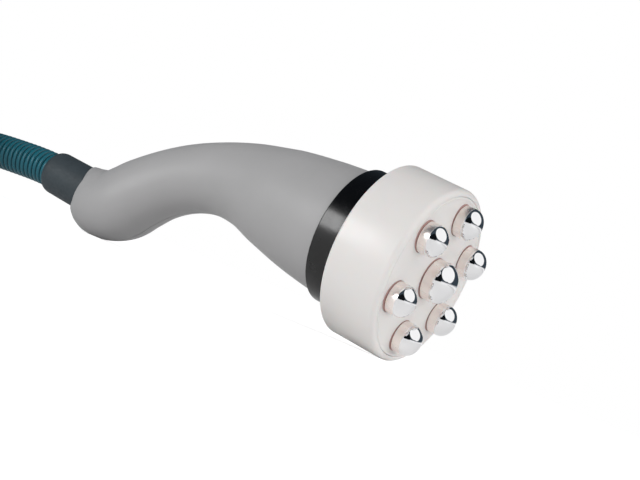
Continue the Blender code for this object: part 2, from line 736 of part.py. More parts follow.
def build_cuff(parent):
    """Rubber cuff: a flange held by the two shells, a boot outside, and a socket for the hose."""
    flange_back = TAIL_END - FLANGE_SEAT - GAP
    flange_front = flange_back - CUFF_FLANGE_WIDTH
    front = flange_front - CUFF_INNER_LENGTH
    profile = [
        (-front, CUFF_BORE_RADIUS),
        (-front, CUFF_RADIUS),
        (-flange_front, CUFF_RADIUS),
        (-flange_front, CUFF_FLANGE_RADIUS),
        (-flange_back, CUFF_FLANGE_RADIUS),
        (-flange_back, CUFF_RADIUS),
        (-TAIL_END, CUFF_RADIUS),
    ]
    lip = HOSE_RADIUS + 2 * GAP
    profile += [
        (CUFF_SHOULDER * (1 - math.sin(a)) - CUFF_MOUTH, lip + (CUFF_TIP_RADIUS - lip) * math.cos(a))
        for a in np.radians([0, 30, 60, 90])
    ]
    profile += [
        (-CUFF_MOUTH, HOSE_RADIUS + GAP),
        (-SOCKET_FLOOR, HOSE_RADIUS + GAP),
        (-SOCKET_FLOOR, CUFF_BORE_RADIUS),
    ]
    add_object("hose_cuff", turned("hose_cuff", profile, CUFF_SIDES), "slate_rubber", parent,
               (0, 0, -CUFF_DROP))


def build_cable(parent):
    """Sheathed cable from the board's header, through the port and down the handle."""
    start = -HEADER_BACK - GAP
    places = [(start, HEADER_OFFSET), (-COLLAR_FRONT, HEADER_OFFSET)]
    places += list(zip(*bend(CABLE_STATION_COUNT)[:2]))[2:]
    places += [(-TAIL_END, -CUFF_DROP), (OVERRUN - SOCKET_FLOOR, -CUFF_DROP)]
    points, _ = smooth_curve(places, CABLE_STEPS, 2, last=(-1, 0))
    cable = tube("inner_cable", [(x, 0, z) for x, z in points], CABLE_RADIUS, 2)
    cable = meshed(cable)
    finish(cable, "cable_sheath", parent)


def lay_down(frame):
    """Turn and lift the handpiece until its head and its tail both rest on the table."""
    bpy.context.view_layer.update()
    corners = []
    for piece in frame.children:
        mesh = piece.data
        flat = np.empty(3 * len(mesh.vertices))
        mesh.vertices.foreach_get("co", flat)
        spun = np.array(piece.matrix_local)
        corners.append(flat.reshape(-1, 3) @ spun[:3, :3].T + spun[:3, 3])
    corners = np.vstack(corners)
    ahead = corners[:, 0] > -HANDLE_FRONT

    def turned_corners(tilt):
        x, y, z = corners.T
        return np.stack((x * math.cos(tilt) + z * math.sin(tilt), y,
                         z * math.cos(tilt) - x * math.sin(tilt)), axis=1)

    low, high = 0, math.radians(20)
    for _ in range(50):
        tilt = (low + high) / 2
        heights = turned_corners(tilt)[:, 2]
        if heights[ahead].min() > heights[~ahead].min():
            low = tilt
        else:
            high = tilt
    laid = turned_corners(tilt)
    frame.rotation_euler = (0, tilt, 0)
    frame.location = (-(laid[:, 0].min() + laid[:, 0].max()) / 2, 0, -laid[:, 2].min())
    bpy.context.view_layer.update()


def build_lead(frame):
    """Free stretch of corrugated hose from the cuff's socket, with its bore."""
    _, length = smooth_curve(HOSE_ROUTE, 2, 3)
    ribs = round(length / RIB_PITCH)
    points, _ = smooth_curve(HOSE_ROUTE, 2 * ribs + 1, 3)
    root = HOSE_ROOT_RADIUS / HOSE_RADIUS
    shares = [1 if index % 2 else root for index in range(len(points))]
    lead = meshed(tube("hose_lead", points, HOSE_RADIUS, 2, shares))
    bore_points, _ = smooth_curve(HOSE_ROUTE, round(length / BORE_STEP), 3)
    first = bore_points[0] - bore_points[1]
    last = bore_points[-1] - bore_points[-2]
    bore_points[0] += first * OVERRUN / np.linalg.norm(first)
    bore_points[-1] += last * OVERRUN / np.linalg.norm(last)
    bore = meshed(tube("bore", bore_points, HOSE_BORE_RADIUS, 2))
    combine(lead, "DIFFERENCE", bore)
    finish(lead, "teal_hose", None)
    print(f"hose lead: {length * 1000:.1f} mm, {ribs} ribs")
    return length


def ease(share):
    """A smooth step from 0 to 1."""
    share = np.clip(share, 0, 1)
    return share**2 * (3 - 2 * share)


def coil_points():
    """Centreline of the coil: a straight start, turns piled up, an inward arc, a straight end."""
    straight = 2 * HOSE_RADIUS
    start = np.array(HOSE_ROUTE[-1]) - (GAP, 0, 0)
    centre = start - (0, COIL_RADIUS, 0)
    t = np.arange(COIL_STEPS + 1) / COIL_POINTS_PER_TURN
    angle = math.pi / 2 + math.tau * t
    height = (TIE_THICKNESS + GAP) * np.exp(-((off_tie(angle) / TIE_HUMP) ** 2))
    for layer in range(COIL_CLIMBS):
        height += COIL_PITCH * ease((t - COIL_CLIMB_START - layer) / COIL_CLIMB_TURNS)
        height += COIL_HUMP * np.exp(-(((t - COIL_HUMP_TURN - layer) / COIL_HUMP_TURNS) ** 2))
    corner = np.where(angle < math.pi, straight, 0)
    turns = centre + np.stack((
        (COIL_RADIUS - corner) * np.cos(angle) - corner,
        (COIL_RADIUS - corner) * np.sin(angle) + corner,
        height,
    ), axis=1)
    heading = angle[-1] + math.pi / 2
    bend = np.linspace(0, EXIT_ANGLE, EXIT_POINTS + 1)[1:]
    rise = HOSE_RADIUS + GAP + BACKSHELL_RADIUS - COIL_PITCH
    leaving = turns[-1] + np.stack((
        EXIT_RADIUS * (np.sin(heading + bend) - math.sin(heading)),
        EXIT_RADIUS * (math.cos(heading) - np.cos(heading + bend)),
        rise * ease(bend / EXIT_ANGLE),
    ), axis=1)
    way = np.array((math.cos(heading + EXIT_ANGLE), math.sin(heading + EXIT_ANGLE), 0))
    return np.vstack((start, turns, leaving, leaving[-1] + straight * way)), centre, way


def off_tie(angle):
    """How far an angle round the coil is from the strap."""
    return (angle - TIE_ANGLE + math.pi) % math.tau - math.pi


def least_gap(points):
    """The least distance between the tube and itself, past four diameters along it."""
    share = np.linspace(0, 1, GAP_STEPS, endpoint=False)[:, None]
    fine = np.vstack([a + (b - a) * share for a, b in zip(points, points[1:])])
    along = np.concatenate(([0], np.cumsum(np.linalg.norm(np.diff(fine, axis=0), axis=1))))
    apart = np.linalg.norm(fine[:, None] - fine[None], axis=2)
    near = GAP_DIAMETERS * 2 * HOSE_RADIUS
    apart[np.abs(along[:, None] - along[None]) < near] = np.inf
    return apart.min() - 2 * HOSE_RADIUS, along[-1]


def build_coil():
    """The put-away length of the hose as one unbroken tube."""
    points, centre, heading = coil_points()
    coil = meshed(tube("hose_coil", points, HOSE_RADIUS, 1))
    finish(coil, "teal_hose", None)
    gap, length = least_gap(points)
    print(f"hose coil: {length * 1000:.1f} mm, least gap to itself {gap * 1000:.2f} mm")
    return centre, points[-1], heading, length


def build_tie(centre):
    """Hook-and-loop strap round the coil's piled turns at one place."""
    middle = COIL_RADIUS * math.cos(COIL_STEP_ANGLE / 2)
    bend = HOSE_RADIUS + GAP
    half_height = COIL_PITCH * COIL_CLIMBS / 2
    height = centre[2] + TIE_THICKNESS + GAP + half_height
    form = bmesh.new()
    rings = []
    for side in (-1, 1):
        for grow in (TIE_THICKNESS, 0):
            corners = []
            for quarter in range(4):
                sign_z = 1 if quarter in (0, 1) else -1
                for step in range(TIE_CORNER_STEPS + 1):
                    angle = math.pi / 2 * (quarter + step / TIE_CORNER_STEPS)
                    corners.append((middle + (bend + grow) * math.cos(angle),
                                    side * TIE_WIDTH / 2,
                                    sign_z * half_height + (bend + grow) * math.sin(angle)))
            rings.append([form.verts.new(corner) for corner in corners])
    outer_a, inner_a, outer_b, inner_b = rings
    for near, far in ((outer_a, outer_b), (outer_b, inner_b), (inner_b, inner_a),
                      (inner_a, outer_a)):
        for i in range(len(near)):
            form.faces.new((near[i - 1], near[i], far[i], far[i - 1]))
    add_object("coil_tie", mesh_of(form, "coil_tie"), "black_webbing", None,
               (centre[0], centre[1], height), (0, 0, TIE_ANGLE))


def build_plug(end, heading):
    """Round plug on the hose's end, with a coupling nut that turns on its barrel."""
    frame = add_object("plug_frame", None)
    frame.location = end
    frame.rotation_euler = (0, 0, math.atan2(heading[1], heading[0]))
    ferrule_back = GAP - FERRULE_SOCKET
    ferrule_front = ferrule_back + FERRULE_LENGTH
    socket = HOSE_RADIUS + GAP
    edge = PLUG_EDGE
    ferrule = [
        (ferrule_back, socket), (ferrule_back, FERRULE_RADIUS - edge),
        (ferrule_back + edge, FERRULE_RADIUS), (ferrule_front, FERRULE_RADIUS),
        (ferrule_front, PLUG_BORE_RADIUS), (GAP, PLUG_BORE_RADIUS), (GAP, socket),
    ]
    add_object("plug_ferrule", turned("plug_ferrule", ferrule, PLUG_SIDES), "nickel", frame)
    shell_back = ferrule_front + GAP
    shell_front = shell_back + BACKSHELL_LENGTH
    shell = [
        (shell_back, PLUG_BORE_RADIUS), (shell_back, FERRULE_RADIUS),
        (shell_back + 2 * edge, BACKSHELL_RADIUS), (shell_front - edge, BACKSHELL_RADIUS),
        (shell_front, BACKSHELL_RADIUS - edge), (shell_front, PLUG_BORE_RADIUS),
    ]
    add_object("plug_backshell", turned("plug_backshell", shell, PLUG_SIDES), "black_plastic",
               frame)
    barrel_back = shell_front + GAP
    shoulder = barrel_back + BARREL_SHOULDER
    lip_front = shoulder + GAP + COUPLING_LIP
    flange_front = lip_front + GAP + BARREL_FLANGE
    barrel_front = barrel_back + BARREL_LENGTH
    cup_floor = barrel_front - BARREL_CUP
    cup = BARREL_RADIUS - BARREL_WALL
    barrel = [
        (barrel_back, PLUG_BORE_RADIUS), (barrel_back, BARREL_FLANGE_RADIUS),
        (shoulder, BARREL_FLANGE_RADIUS), (shoulder, BARREL_RADIUS),
        (lip_front + GAP, BARREL_RADIUS), (lip_front + GAP, BARREL_FLANGE_RADIUS),
        (flange_front, BARREL_FLANGE_RADIUS), (flange_front, BARREL_RADIUS),
        (barrel_front, BARREL_RADIUS), (barrel_front, cup),
        (cup_floor, cup), (cup_floor, PLUG_BORE_RADIUS),
    ]
    add_object("plug_barrel", turned("plug_barrel", barrel, PLUG_SIDES), "nickel", frame)
    build_coupling(frame, shoulder + GAP)
    build_contacts(frame, cup_floor + GAP, cup - GAP)


def build_coupling(frame, back):
    """Coupling nut: a grooved sleeve whose rear lip is trapped behind the barrel's flange."""
    lip = back + COUPLING_LIP
    front = back + COUPLING_LENGTH
    hole = BARREL_RADIUS + COUPLING_CLEARANCE
    bore = BARREL_FLANGE_RADIUS + COUPLING_CLEARANCE
    edge = PLUG_EDGE
    profile = [
        (back, hole), (back, COUPLING_RADIUS - edge), (back + edge, COUPLING_RADIUS),
        (front - edge, COUPLING_RADIUS), (front, COUPLING_RADIUS - edge), (front, bore),
        (lip, bore), (lip, hole),
    ]
    sides = 2 * COUPLING_GRIPS
    mesh = turned("coupling_nut", profile, sides)
    for vertex in mesh.vertices:
        _, y, z = vertex.co
        column = round(math.atan2(y, z) * sides / math.tau)
        if column % 2 and math.hypot(y, z) > COUPLING_RADIUS - edge / 2:
            shrink = 1 - COUPLING_GROOVE / COUPLING_RADIUS
            vertex.co.y *= shrink
            vertex.co.z *= shrink
    add_object("coupling_nut", mesh, "nickel", frame)


def build_contacts(frame, back, radius):
    """Insulating insert in the barrel's cup, with one contact pin for each electrode."""
    front = back + INSERT_THICKNESS
    profile = [(back, 0), (back, radius), (front, radius), (front, 0)]
    insert = add_object("contact_insert", turned("contact_insert", profile, PLUG_SIDES))
    places = [(0, 0)] + [on_circle(PIN_CIRCLE, PIN_COUNT, index) for index in range(PIN_COUNT)]
    holes = [((back - OVERRUN, y, z), (front + OVERRUN, y, z), PIN_RADIUS + GAP)
             for y, z in places]
    combine(insert, "DIFFERENCE", rods("pin_holes", holes, STUD_SIDES))
    finish(insert, "black_plastic", frame)
    tail = back - PIN_TAIL
    edge = PIN_RADIUS / 2
    profile = [(tail, 0), (tail, PIN_RADIUS), (tail + PIN_LENGTH - edge, PIN_RADIUS),
               (tail + PIN_LENGTH, PIN_RADIUS - edge), (tail + PIN_LENGTH, 0)]
    mesh = turned("contact_pin", profile, STUD_SIDES)
    for index, (y, z) in enumerate(places):
        add_object(f"contact_pin_{index + 1}", mesh, "gold", frame, (0, y, z))


for leftover in list(bpy.data.objects):
    bpy.data.objects.remove(leftover, do_unlink=True)
handpiece = add_object("handpiece_frame", None)
build_housing(handpiece)
build_face_plate(handpiece)
build_electrodes(handpiece)
build_board(handpiece)
build_collar(handpiece)
build_shells(handpiece)
build_cuff(handpiece)
build_cable(handpiece)
lay_down(handpiece)
socket = handpiece.matrix_world @ Vector((-SOCKET_FLOOR - GAP, 0, -CUFF_DROP))
print(f"hose leaves the cuff's socket at {tuple(round(value, 5) for value in socket)}, "
      f"tilt {math.degrees(handpiece.rotation_euler.y):.3f} degrees")
lead_length = build_lead(handpiece)
coil_centre, coil_end, coil_heading, coil_length = build_coil()
build_tie(coil_centre)
build_plug(coil_end, coil_heading)
print(f"hose in all: {lead_length + coil_length:.3f} m")
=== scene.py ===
# Looks of a radiofrequency beauty handpiece that lies on a table, with its hose coiled beside it.
# Metres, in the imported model's frame: the head points to +X and the table is at zero height.
import math

import bmesh
import bpy
import numpy as np
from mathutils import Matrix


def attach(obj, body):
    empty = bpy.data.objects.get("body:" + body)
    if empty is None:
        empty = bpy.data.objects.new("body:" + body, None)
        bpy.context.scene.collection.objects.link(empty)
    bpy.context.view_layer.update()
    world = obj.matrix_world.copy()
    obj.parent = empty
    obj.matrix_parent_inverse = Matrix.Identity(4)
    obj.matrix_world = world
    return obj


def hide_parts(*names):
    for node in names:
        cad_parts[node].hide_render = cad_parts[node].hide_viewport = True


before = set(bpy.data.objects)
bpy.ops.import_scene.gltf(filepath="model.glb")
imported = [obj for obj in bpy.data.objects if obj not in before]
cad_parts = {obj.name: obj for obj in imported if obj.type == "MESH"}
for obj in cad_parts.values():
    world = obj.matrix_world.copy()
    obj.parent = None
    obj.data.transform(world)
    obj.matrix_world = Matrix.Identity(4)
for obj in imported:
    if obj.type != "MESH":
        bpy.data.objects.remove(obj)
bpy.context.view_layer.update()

MM = 0.001

# Camera
# It stands where the photographer's did: low beside the head, and rolled so that the
# handpiece seems to climb to the left. The lens is a short telephoto, as for products.
def placed(name, data):
    """An object in the scene with its mesh, its lamp or its camera."""
    made = bpy.data.objects.new(name, data)
    bpy.context.scene.collection.objects.link(made)
    return made


camera = placed("camera", bpy.data.cameras.new("camera"))
camera.data.sensor_width = 36
camera.data.lens = 75.78
camera.data.clip_start = 0.01
camera.data.clip_end = 50
camera.location = (0.32478, -0.52300, 0.01155)
camera.rotation_euler = np.radians((92.710, -22.559, 27.352))
bpy.context.scene.camera = camera

# Studio
# White walls stand round a white table and give an even light from the sides. What the chrome
# mirrors is darker: an unlit ceiling, one large softbox in it, and the room behind the camera.
WALL_WHITE = "#f7f7f8"
CEILING_LIGHT = "#9c9c9c"
CEILING_DARK = "#39424b"
ROOM_DARK = "#0e1115"
FLOOR_WHITE = "#f4f4f4"
PURE_WHITE = "#ffffff"
# What is mirrored besides walls and ceiling: a colour, the direction of its middle, and the
# angles from there, in degrees, out to which it is full and beyond which it is gone
MIRRORED_PATCHES = (
    (ROOM_DARK, (0.38, -0.91, 0.15), 29, 34),
    (PURE_WHITE, (0.66, 0.02, 0.75), 40, 42),
    (PURE_WHITE, (0.74, 0.30, 0.55), 28, 30),
)


def linear(colour):
    """The linear RGBA of an sRGB hex colour, by the sRGB transfer curve."""
    channels = np.array([int(colour[i:i + 2], 16) for i in (1, 3, 5)]) / 255
    curved = ((channels + 0.055) / 1.055) ** 2.4
    return (*np.where(channels <= 0.04045, channels / 12.92, curved), 1)


def fill(tree, node, sockets):
    """Gives each socket of a node its constant or its link."""
    for key, value in sockets.items():
        if isinstance(value, bpy.types.NodeSocket):
            tree.links.new(value, node.inputs[key])
        else:
            node.inputs[key].default_value = value


def add_node(tree, kind, sockets, **settings):
    """A node of a kind with its settings; each socket takes a constant or a link. Where a kind
    has several sockets of one name they go by number: a colour mix has its share at 0 and its
    two colours at 6 and 7, and gives its result at 2."""
    made = tree.nodes.new(kind)
    for name, value in settings.items():
        setattr(made, name, value)
    fill(tree, made, sockets)
    return made


def patch(tree, way, middle, inner, outer):
    """1 within an angle of a direction in the sky, 0 beyond a wider one, smooth between: the
    cosine of the angle to the direction, read from the wider angle's to the narrower's."""
    middle = np.array(middle) / np.linalg.norm(middle)
    facing = add_node(tree, "ShaderNodeVectorMath", {0: way, 1: middle}, operation="DOT_PRODUCT")
    return add_node(tree, "ShaderNodeMapRange", {
        "Value": facing.outputs["Value"],
        "From Min": math.cos(math.radians(outer)), "From Max": math.cos(math.radians(inner)),
    }, interpolation_type="SMOOTHSTEP").outputs["Result"]


world = bpy.data.worlds.new("light_tent")
bpy.context.scene.world = world
world.use_nodes = True
sky = world.node_tree
sky.nodes.clear()
# A direction's height is 0 where it is level and 1 where it is straight up
sky_way = add_node(sky, "ShaderNodeTexCoord", {}).outputs["Generated"]
sky_height = add_node(sky, "ShaderNodeSeparateXYZ", {0: sky_way}).outputs["Z"]
overhead = add_node(sky, "ShaderNodeMapRange", {
    "Value": sky_height, "From Min": 0.15, "From Max": 0.9}).outputs["Result"]
walls = add_node(sky, "ShaderNodeMix", {
    0: overhead, 6: linear(WALL_WHITE), 7: linear(CEILING_LIGHT)}, data_type="RGBA").outputs[2]
lit = add_node(sky, "ShaderNodeBackground", {"Color": walls, "Strength": 0.84})
above_walls = add_node(sky, "ShaderNodeMapRange", {
    "Value": sky_height, "From Min": 0.03, "From Max": 0.08}).outputs["Result"]
mirrored = linear(WALL_WHITE)
for share, colour in [(above_walls, CEILING_DARK)] + [
        (patch(sky, sky_way, middle, inner, outer), colour)
        for colour, middle, inner, outer in MIRRORED_PATCHES]:
    mirrored = add_node(sky, "ShaderNodeMix", {
        0: share, 6: mirrored, 7: linear(colour)}, data_type="RGBA").outputs[2]
room = add_node(sky, "ShaderNodeBackground", {"Color": mirrored, "Strength": 1.0})
ray = add_node(sky, "ShaderNodeLightPath", {})
around = add_node(sky, "ShaderNodeMixShader", {
    0: ray.outputs["Is Glossy Ray"], 1: lit.outputs[0], 2: room.outputs[0]})
plain = add_node(sky, "ShaderNodeBackground", {"Color": linear(PURE_WHITE), "Strength": 1.0})
both = add_node(sky, "ShaderNodeMixShader", {
    0: ray.outputs["Is Camera Ray"], 1: around.outputs[0], 2: plain.outputs[0]})
add_node(sky, "ShaderNodeOutputWorld", {"Surface": both.outputs[0]})
bpy.context.scene.view_settings.view_transform = "Standard"


def softbox(name, place, aim, width, height, power, mirrored=True):
    """A rectangular lamp at a place that gloss may mirror or not. It shines straight down, and
    is tipped and swung until that is the way to a point."""
    data = bpy.data.lights.new(name, "AREA")
    data.shape = "RECTANGLE"
    data.size, data.size_y, data.energy = width, height, power
    lamp = placed(name, data)
    lamp.location = place
    way = np.subtract(aim, place)
    lamp.rotation_euler = (math.atan2(math.hypot(way[0], way[1]), -way[2]), 0,
                           math.atan2(-way[0], way[1]))
    lamp.visible_glossy = mirrored


# Each lamp's place, the point it is turned to, its two sides in metres and its power in watts
softbox("lamp_over", (0.70, 0.10, 0.90), (0, 0, 0.04), 0.9, 0.9, 2, mirrored=False)
softbox("lamp_front", (-0.50, -0.95, 0.24), (0, 0, 0.04), 0.36, 0.44, 4.2)
softbox("lamp_face", (1.10, -0.10, 0.22), (0.1, 0, 0.04), 0.7, 0.5, 2.6, mirrored=False)

NOISE_LOW, NOISE_HIGH = 0.3, 0.7


def finish(name, colour=None, roughness=None, relief=None, constants=()):
    """A new material, whose constants go straight to its main shader. Colour, roughness and
    relief are each noise in space, given as spots to the metre, detail and ends. The noise
    blends two colours, is stretched from its usual range over a range of roughness, or raises
    the surface, where 1 stands for a depth in metres."""
    look = bpy.data.materials.new(name)
    look.use_nodes = True
    tree = look.node_tree
    sockets = dict(constants)
    where = add_node(tree, "ShaderNodeTexCoord", {}).outputs["Object"]
    for socket, pattern in (("Base Color", colour), ("Roughness", roughness), ("Normal", relief)):
        if pattern is None:
            continue
        per_metre, detail, *ends = pattern
        noise = add_node(tree, "ShaderNodeTexNoise", {
            "Vector": where, "Scale": per_metre, "Detail": detail}).outputs["Fac"]
        if socket == "Base Color":
            sockets[socket] = add_node(tree, "ShaderNodeMix", {
                0: noise, 6: linear(ends[0]), 7: linear(ends[1])}, data_type="RGBA").outputs[2]
        elif socket == "Roughness":
            sockets[socket] = add_node(tree, "ShaderNodeMapRange", {
                "Value": noise, "From Min": NOISE_LOW, "From Max": NOISE_HIGH,
                "To Min": ends[0], "To Max": ends[1]}).outputs["Result"]
        else:
            sockets[socket] = add_node(tree, "ShaderNodeBump", {
                "Height": noise, "Strength": 1.0, "Distance": ends[0]}).outputs["Normal"]
    fill(tree, tree.nodes["Principled BSDF"], sockets)
    return look


# Matt paper: an even white with a faint tooth of a millimetre. It glows a little for the lens,
# so that the table is as white as the walls, and less for what mirrors it, and lights nothing.
GLOW_SEEN, GLOW_MIRRORED = 0.65, 0.17
TABLE_REACH = 8
paper = finish("paper_sheet", relief=(900, 2, 0.02 * MM), constants={
    "Base Color": linear(FLOOR_WHITE), "Roughness": 0.9, "Specular IOR Level": 0.1,
    "Emission Color": linear(PURE_WHITE)})
tree = paper.node_tree
ray = add_node(tree, "ShaderNodeLightPath", {}).outputs
glow = add_node(tree, "ShaderNodeMath", {
    0: ray["Is Glossy Ray"], 1: GLOW_MIRRORED}, operation="MULTIPLY").outputs[0]
glow = add_node(tree, "ShaderNodeMath", {
    0: ray["Is Camera Ray"], 1: GLOW_SEEN, 2: glow}, operation="MULTIPLY_ADD").outputs[0]
fill(tree, tree.nodes["Principled BSDF"], {"Emission Strength": glow})
floor_mesh = bpy.data.meshes.new("table")
floor_mesh.from_pydata([(x * TABLE_REACH, y * TABLE_REACH, 0) for x, y in (
    (-1, -1), (1, -1), (1, 1), (-1, 1))], [], [(0, 1, 2, 3)])
floor_mesh.materials.append(paper)
table = placed("table", floor_mesh)

# Head cup
# A white ABS cup, injection moulded, 80 mm across. Its front edge is well rounded, and the
# face plate lies inside it on a ledge. The collar is screwed to its back.

# The handpiece's own frame has its axis on X and the cup's front at 0, and lies tilted.
TILT = math.radians(5.8894)
LIFT = np.array((0.0979525, 0, 0.0395324))
LAID = np.array(((math.cos(TILT), 0, math.sin(TILT)), (0, 1, 0),
                 (-math.sin(TILT), 0, math.cos(TILT))))
GAP = 0.3 * MM
HEAD_RADIUS = 40.0 * MM
HEAD_DEPTH = 27.8 * MM
HEAD_BACK = HEAD_DEPTH + 0.4 * MM
HEAD_SEAT = 32.0 * MM
HEAD_INNER = HEAD_RADIUS - 2.8 * MM
HEAD_FLOOR = HEAD_DEPTH - 3.0 * MM
FRONT_BEND, BACK_BEND, RIM_BEND = 2.3 * MM, 1.2 * MM, 0.35 * MM
LEDGE_RADIUS = HEAD_INNER - 1.5 * MM
PLATE_SEAT = 3.7 * MM
PORT_RADIUS = 13.0 * MM
HEAD_SIDES = 160
# Degrees between two faces that still look like one
SMOOTH_UP_TO = 38


def rounded(corners, steps=7):
    """A profile from corners (x, radius, bend): each bend is an arc that meets both sides."""
    points = []
    for k, (x, radius, arc) in enumerate(corners):
        here = np.array((x, radius))
        if not arc:
            points.append(here)
            continue
        back = np.array(corners[k - 1][:2]) - here
        ahead = np.array(corners[(k + 1) % len(corners)][:2]) - here
        back /= np.linalg.norm(back)
        ahead /= np.linalg.norm(ahead)
        half = math.acos(np.clip(back @ ahead, -1, 1)) / 2
        middle = here + (back + ahead) / np.linalg.norm(back + ahead) * arc / math.sin(half)
        first = here + back * arc / math.tan(half) - middle
        last = here + ahead * arc / math.tan(half) - middle
        turn = math.pi - 2 * half
        share = np.linspace(0, 1, steps + 1)[:, None]
        points += list(middle + (np.sin((1 - share) * turn) * first
                                 + np.sin(share * turn) * last) / math.sin(turn))
    return np.array(points)


def turned(profile, sides):
    """Grid of a turned piece: (x, radius) at angle a is (x, -radius sin a, radius cos a)."""
    angle = np.arange(sides) * math.tau / sides
    x, radius = np.asarray(profile, float).T[:, :, None]
    return np.stack(np.broadcast_arrays(x, -radius * np.sin(angle), radius * np.cos(angle)), -1)


def laid(points):
    """Points of the handpiece's own frame, turned and lifted onto the table, none below it."""
    return np.maximum(points @ LAID.T + LIFT, (-np.inf, -np.inf, 0))


def add_piece(name, mesh, look, slot, *stands_for, body="handpiece"):
    """A finished mesh in the scene, with its material, its body and the nodes it stands for."""
    piece = placed(name, mesh)
    mesh.materials.clear()
    mesh.materials.append(look)
    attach(piece, body)
    if stands_for:
        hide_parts(*stands_for)
    return piece


def skin(name, grid, ends="joined", along=None, marks=None, crease=SMOOTH_UP_TO):
    """Mesh of a grid of points, whose columns go round. Its rows join round too, or end flat or
    in a wall. Its UV map is the share round and the distance along; marks are point values.
    Points of one place become one, and an edge of more degrees than crease is sharp."""
    rows, columns = grid.shape[:2]
    spans = rows if ends == "joined" else rows - 1
    i, j = (part.ravel() for part in np.mgrid[0:spans, 0:columns])
    at_row = np.stack((i, i, i + 1, i + 1), 1)
    at_column = np.stack((j, j + 1, j + 1, j), 1)
    faces = (at_row % rows * columns + at_column % columns).tolist()
    last = (rows - 1) * columns
    if ends == "flat":
        faces += [list(range(columns)), list(range(last, last + columns))]
    if ends == "wall":
        k = np.arange(columns // 2 - 1)
        wall = np.stack((k, k + 1, columns - 2 - k, columns - 1 - k), 1)
        faces += wall.tolist() + (wall + last).tolist()
    mesh = bpy.data.meshes.new(name)
    mesh.from_pydata(grid.reshape(-1, 3), [], faces)
    if along is None:
        step = np.linalg.norm(np.diff(grid[:, 0], axis=0, append=grid[:1, 0]), axis=1)
        along = np.append(0, np.cumsum(step))
    uv = np.zeros((len(mesh.loops), 2), np.float32)
    uv[:4 * len(i), 0] = at_column.ravel() / columns
    uv[:4 * len(i), 1] = along[at_row.ravel()]
    mesh.uv_layers.new(name="UVMap").data.foreach_set("uv", uv.ravel())
    for mark, values in (marks or {}).items():
        spots = np.broadcast_to(np.asarray(values, np.float32)[:, None], (rows, columns))
        mesh.attributes.new(mark, "FLOAT", "POINT").data.foreach_set("value", spots.ravel())
    form = bmesh.new()
    form.from_mesh(mesh)
    bmesh.ops.remove_doubles(form, verts=form.verts, dist=0.0005 * MM)
    bmesh.ops.recalc_face_normals(form, faces=form.faces)
    form.to_mesh(mesh)
    form.free()
    mesh.shade_smooth()
    mesh.set_sharp_from_angle(angle=math.radians(crease))
    return mesh


# White ABS, moulded and polished: a warm white with a slight glow inside, so its creases
# stay warm, and an orange peel of waves 2 to 3 mm long that softens the lamps in it.
white_abs = finish(
    "white_abs", colour=(14, 3, "#e9e5e2", "#efedeb"), roughness=(350, 2, 0.30, 0.38),
    relief=(420, 2, 0.006 * MM), constants={
        "Subsurface Weight": 0.25, "Subsurface Radius": (1.0, 0.55, 0.42),
        "Subsurface Scale": 1.5 * MM})

cup_profile = rounded([
    (-HEAD_DEPTH, PORT_RADIUS, 0.3 * MM), (-HEAD_DEPTH, HEAD_SEAT, 0),
    (-HEAD_BACK, HEAD_SEAT, 0.1 * MM), (-HEAD_BACK, HEAD_RADIUS, BACK_BEND),
    (0, HEAD_RADIUS, FRONT_BEND), (0, HEAD_INNER, RIM_BEND), (-PLATE_SEAT, HEAD_INNER, 0),
    (-PLATE_SEAT, LEDGE_RADIUS, 0), (-HEAD_FLOOR, LEDGE_RADIUS, 1.0 * MM),
    (-HEAD_FLOOR, PORT_RADIUS, 0.3 * MM),
])
add_piece("head_cup", skin("head_cup", laid(turned(cup_profile, HEAD_SIDES))),
          white_abs, "white_plastic", "head_housing")

# Face plate
# A white ABS disc that carries the electrodes. It is slightly crowned inside a low bead along
# its edge, with a round seat for each electrode's seal and posts behind for the head screws.
PLATE_RADIUS = HEAD_INNER - 0.12 * MM
PLATE_THICKNESS = 3.4 * MM
PLATE_CROWN = 0.6 * MM
PLATE_EDGE = 0.5 * MM
BEAD_WIDTH = 1.5 * MM
BOSS_RADIUS, BOSS_BACK = 5.6 * MM, 9.0 * MM
POST_RADIUS, POST_CIRCLE = 3.6 * MM, 23.8 * MM
PILOT_RADIUS, PILOT_FRONT, PILOT_BACK = 1.55 * MM, 10.9 * MM, 27.0 * MM
STUD_BORE = 2.2 * MM
CUT_PAST = 2.0 * MM
ELECTRODE_CIRCLE = 27.5 * MM
CENTRE_RADIUS, CENTRE_HEIGHT, CENTRE_DOME = 9.2 * MM, 4.6 * MM, 6.2 * MM
OUTER_RADIUS, OUTER_HEIGHT, OUTER_DOME = 7.0 * MM, 4.1 * MM, 5.5 * MM
SEAL_THICKNESS, SEAL_PROUD, SEAL_RIM = 0.7 * MM, 0.1 * MM, 0.15 * MM
# Each electrode's label, y, z, radius, height of its side and of its dome, and how far the
# plate is raised under it
ELECTRODES = [("centre", 0, 0, CENTRE_RADIUS, CENTRE_HEIGHT, CENTRE_DOME, PLATE_CROWN)] + [
    (str(k + 1), -ELECTRODE_CIRCLE * math.sin(a), ELECTRODE_CIRCLE * math.cos(a),
     OUTER_RADIUS, OUTER_HEIGHT, OUTER_DOME, 0)
    for k, a in enumerate(np.arange(6) * math.tau / 6)]
POSTS = [(-POST_CIRCLE * math.sin(a), POST_CIRCLE * math.cos(a))
         for a in np.arange(3) * math.tau / 3 + math.tau / 12]


def peg(name, start, end, radius, y, z, sides=32):
    """A straight round tool on the head, along its axis from one distance to another."""
    grid = turned([(start, radius), (end, radius)], sides) + (0, y, z)
    return placed(name, skin(name, laid(grid), "flat"))


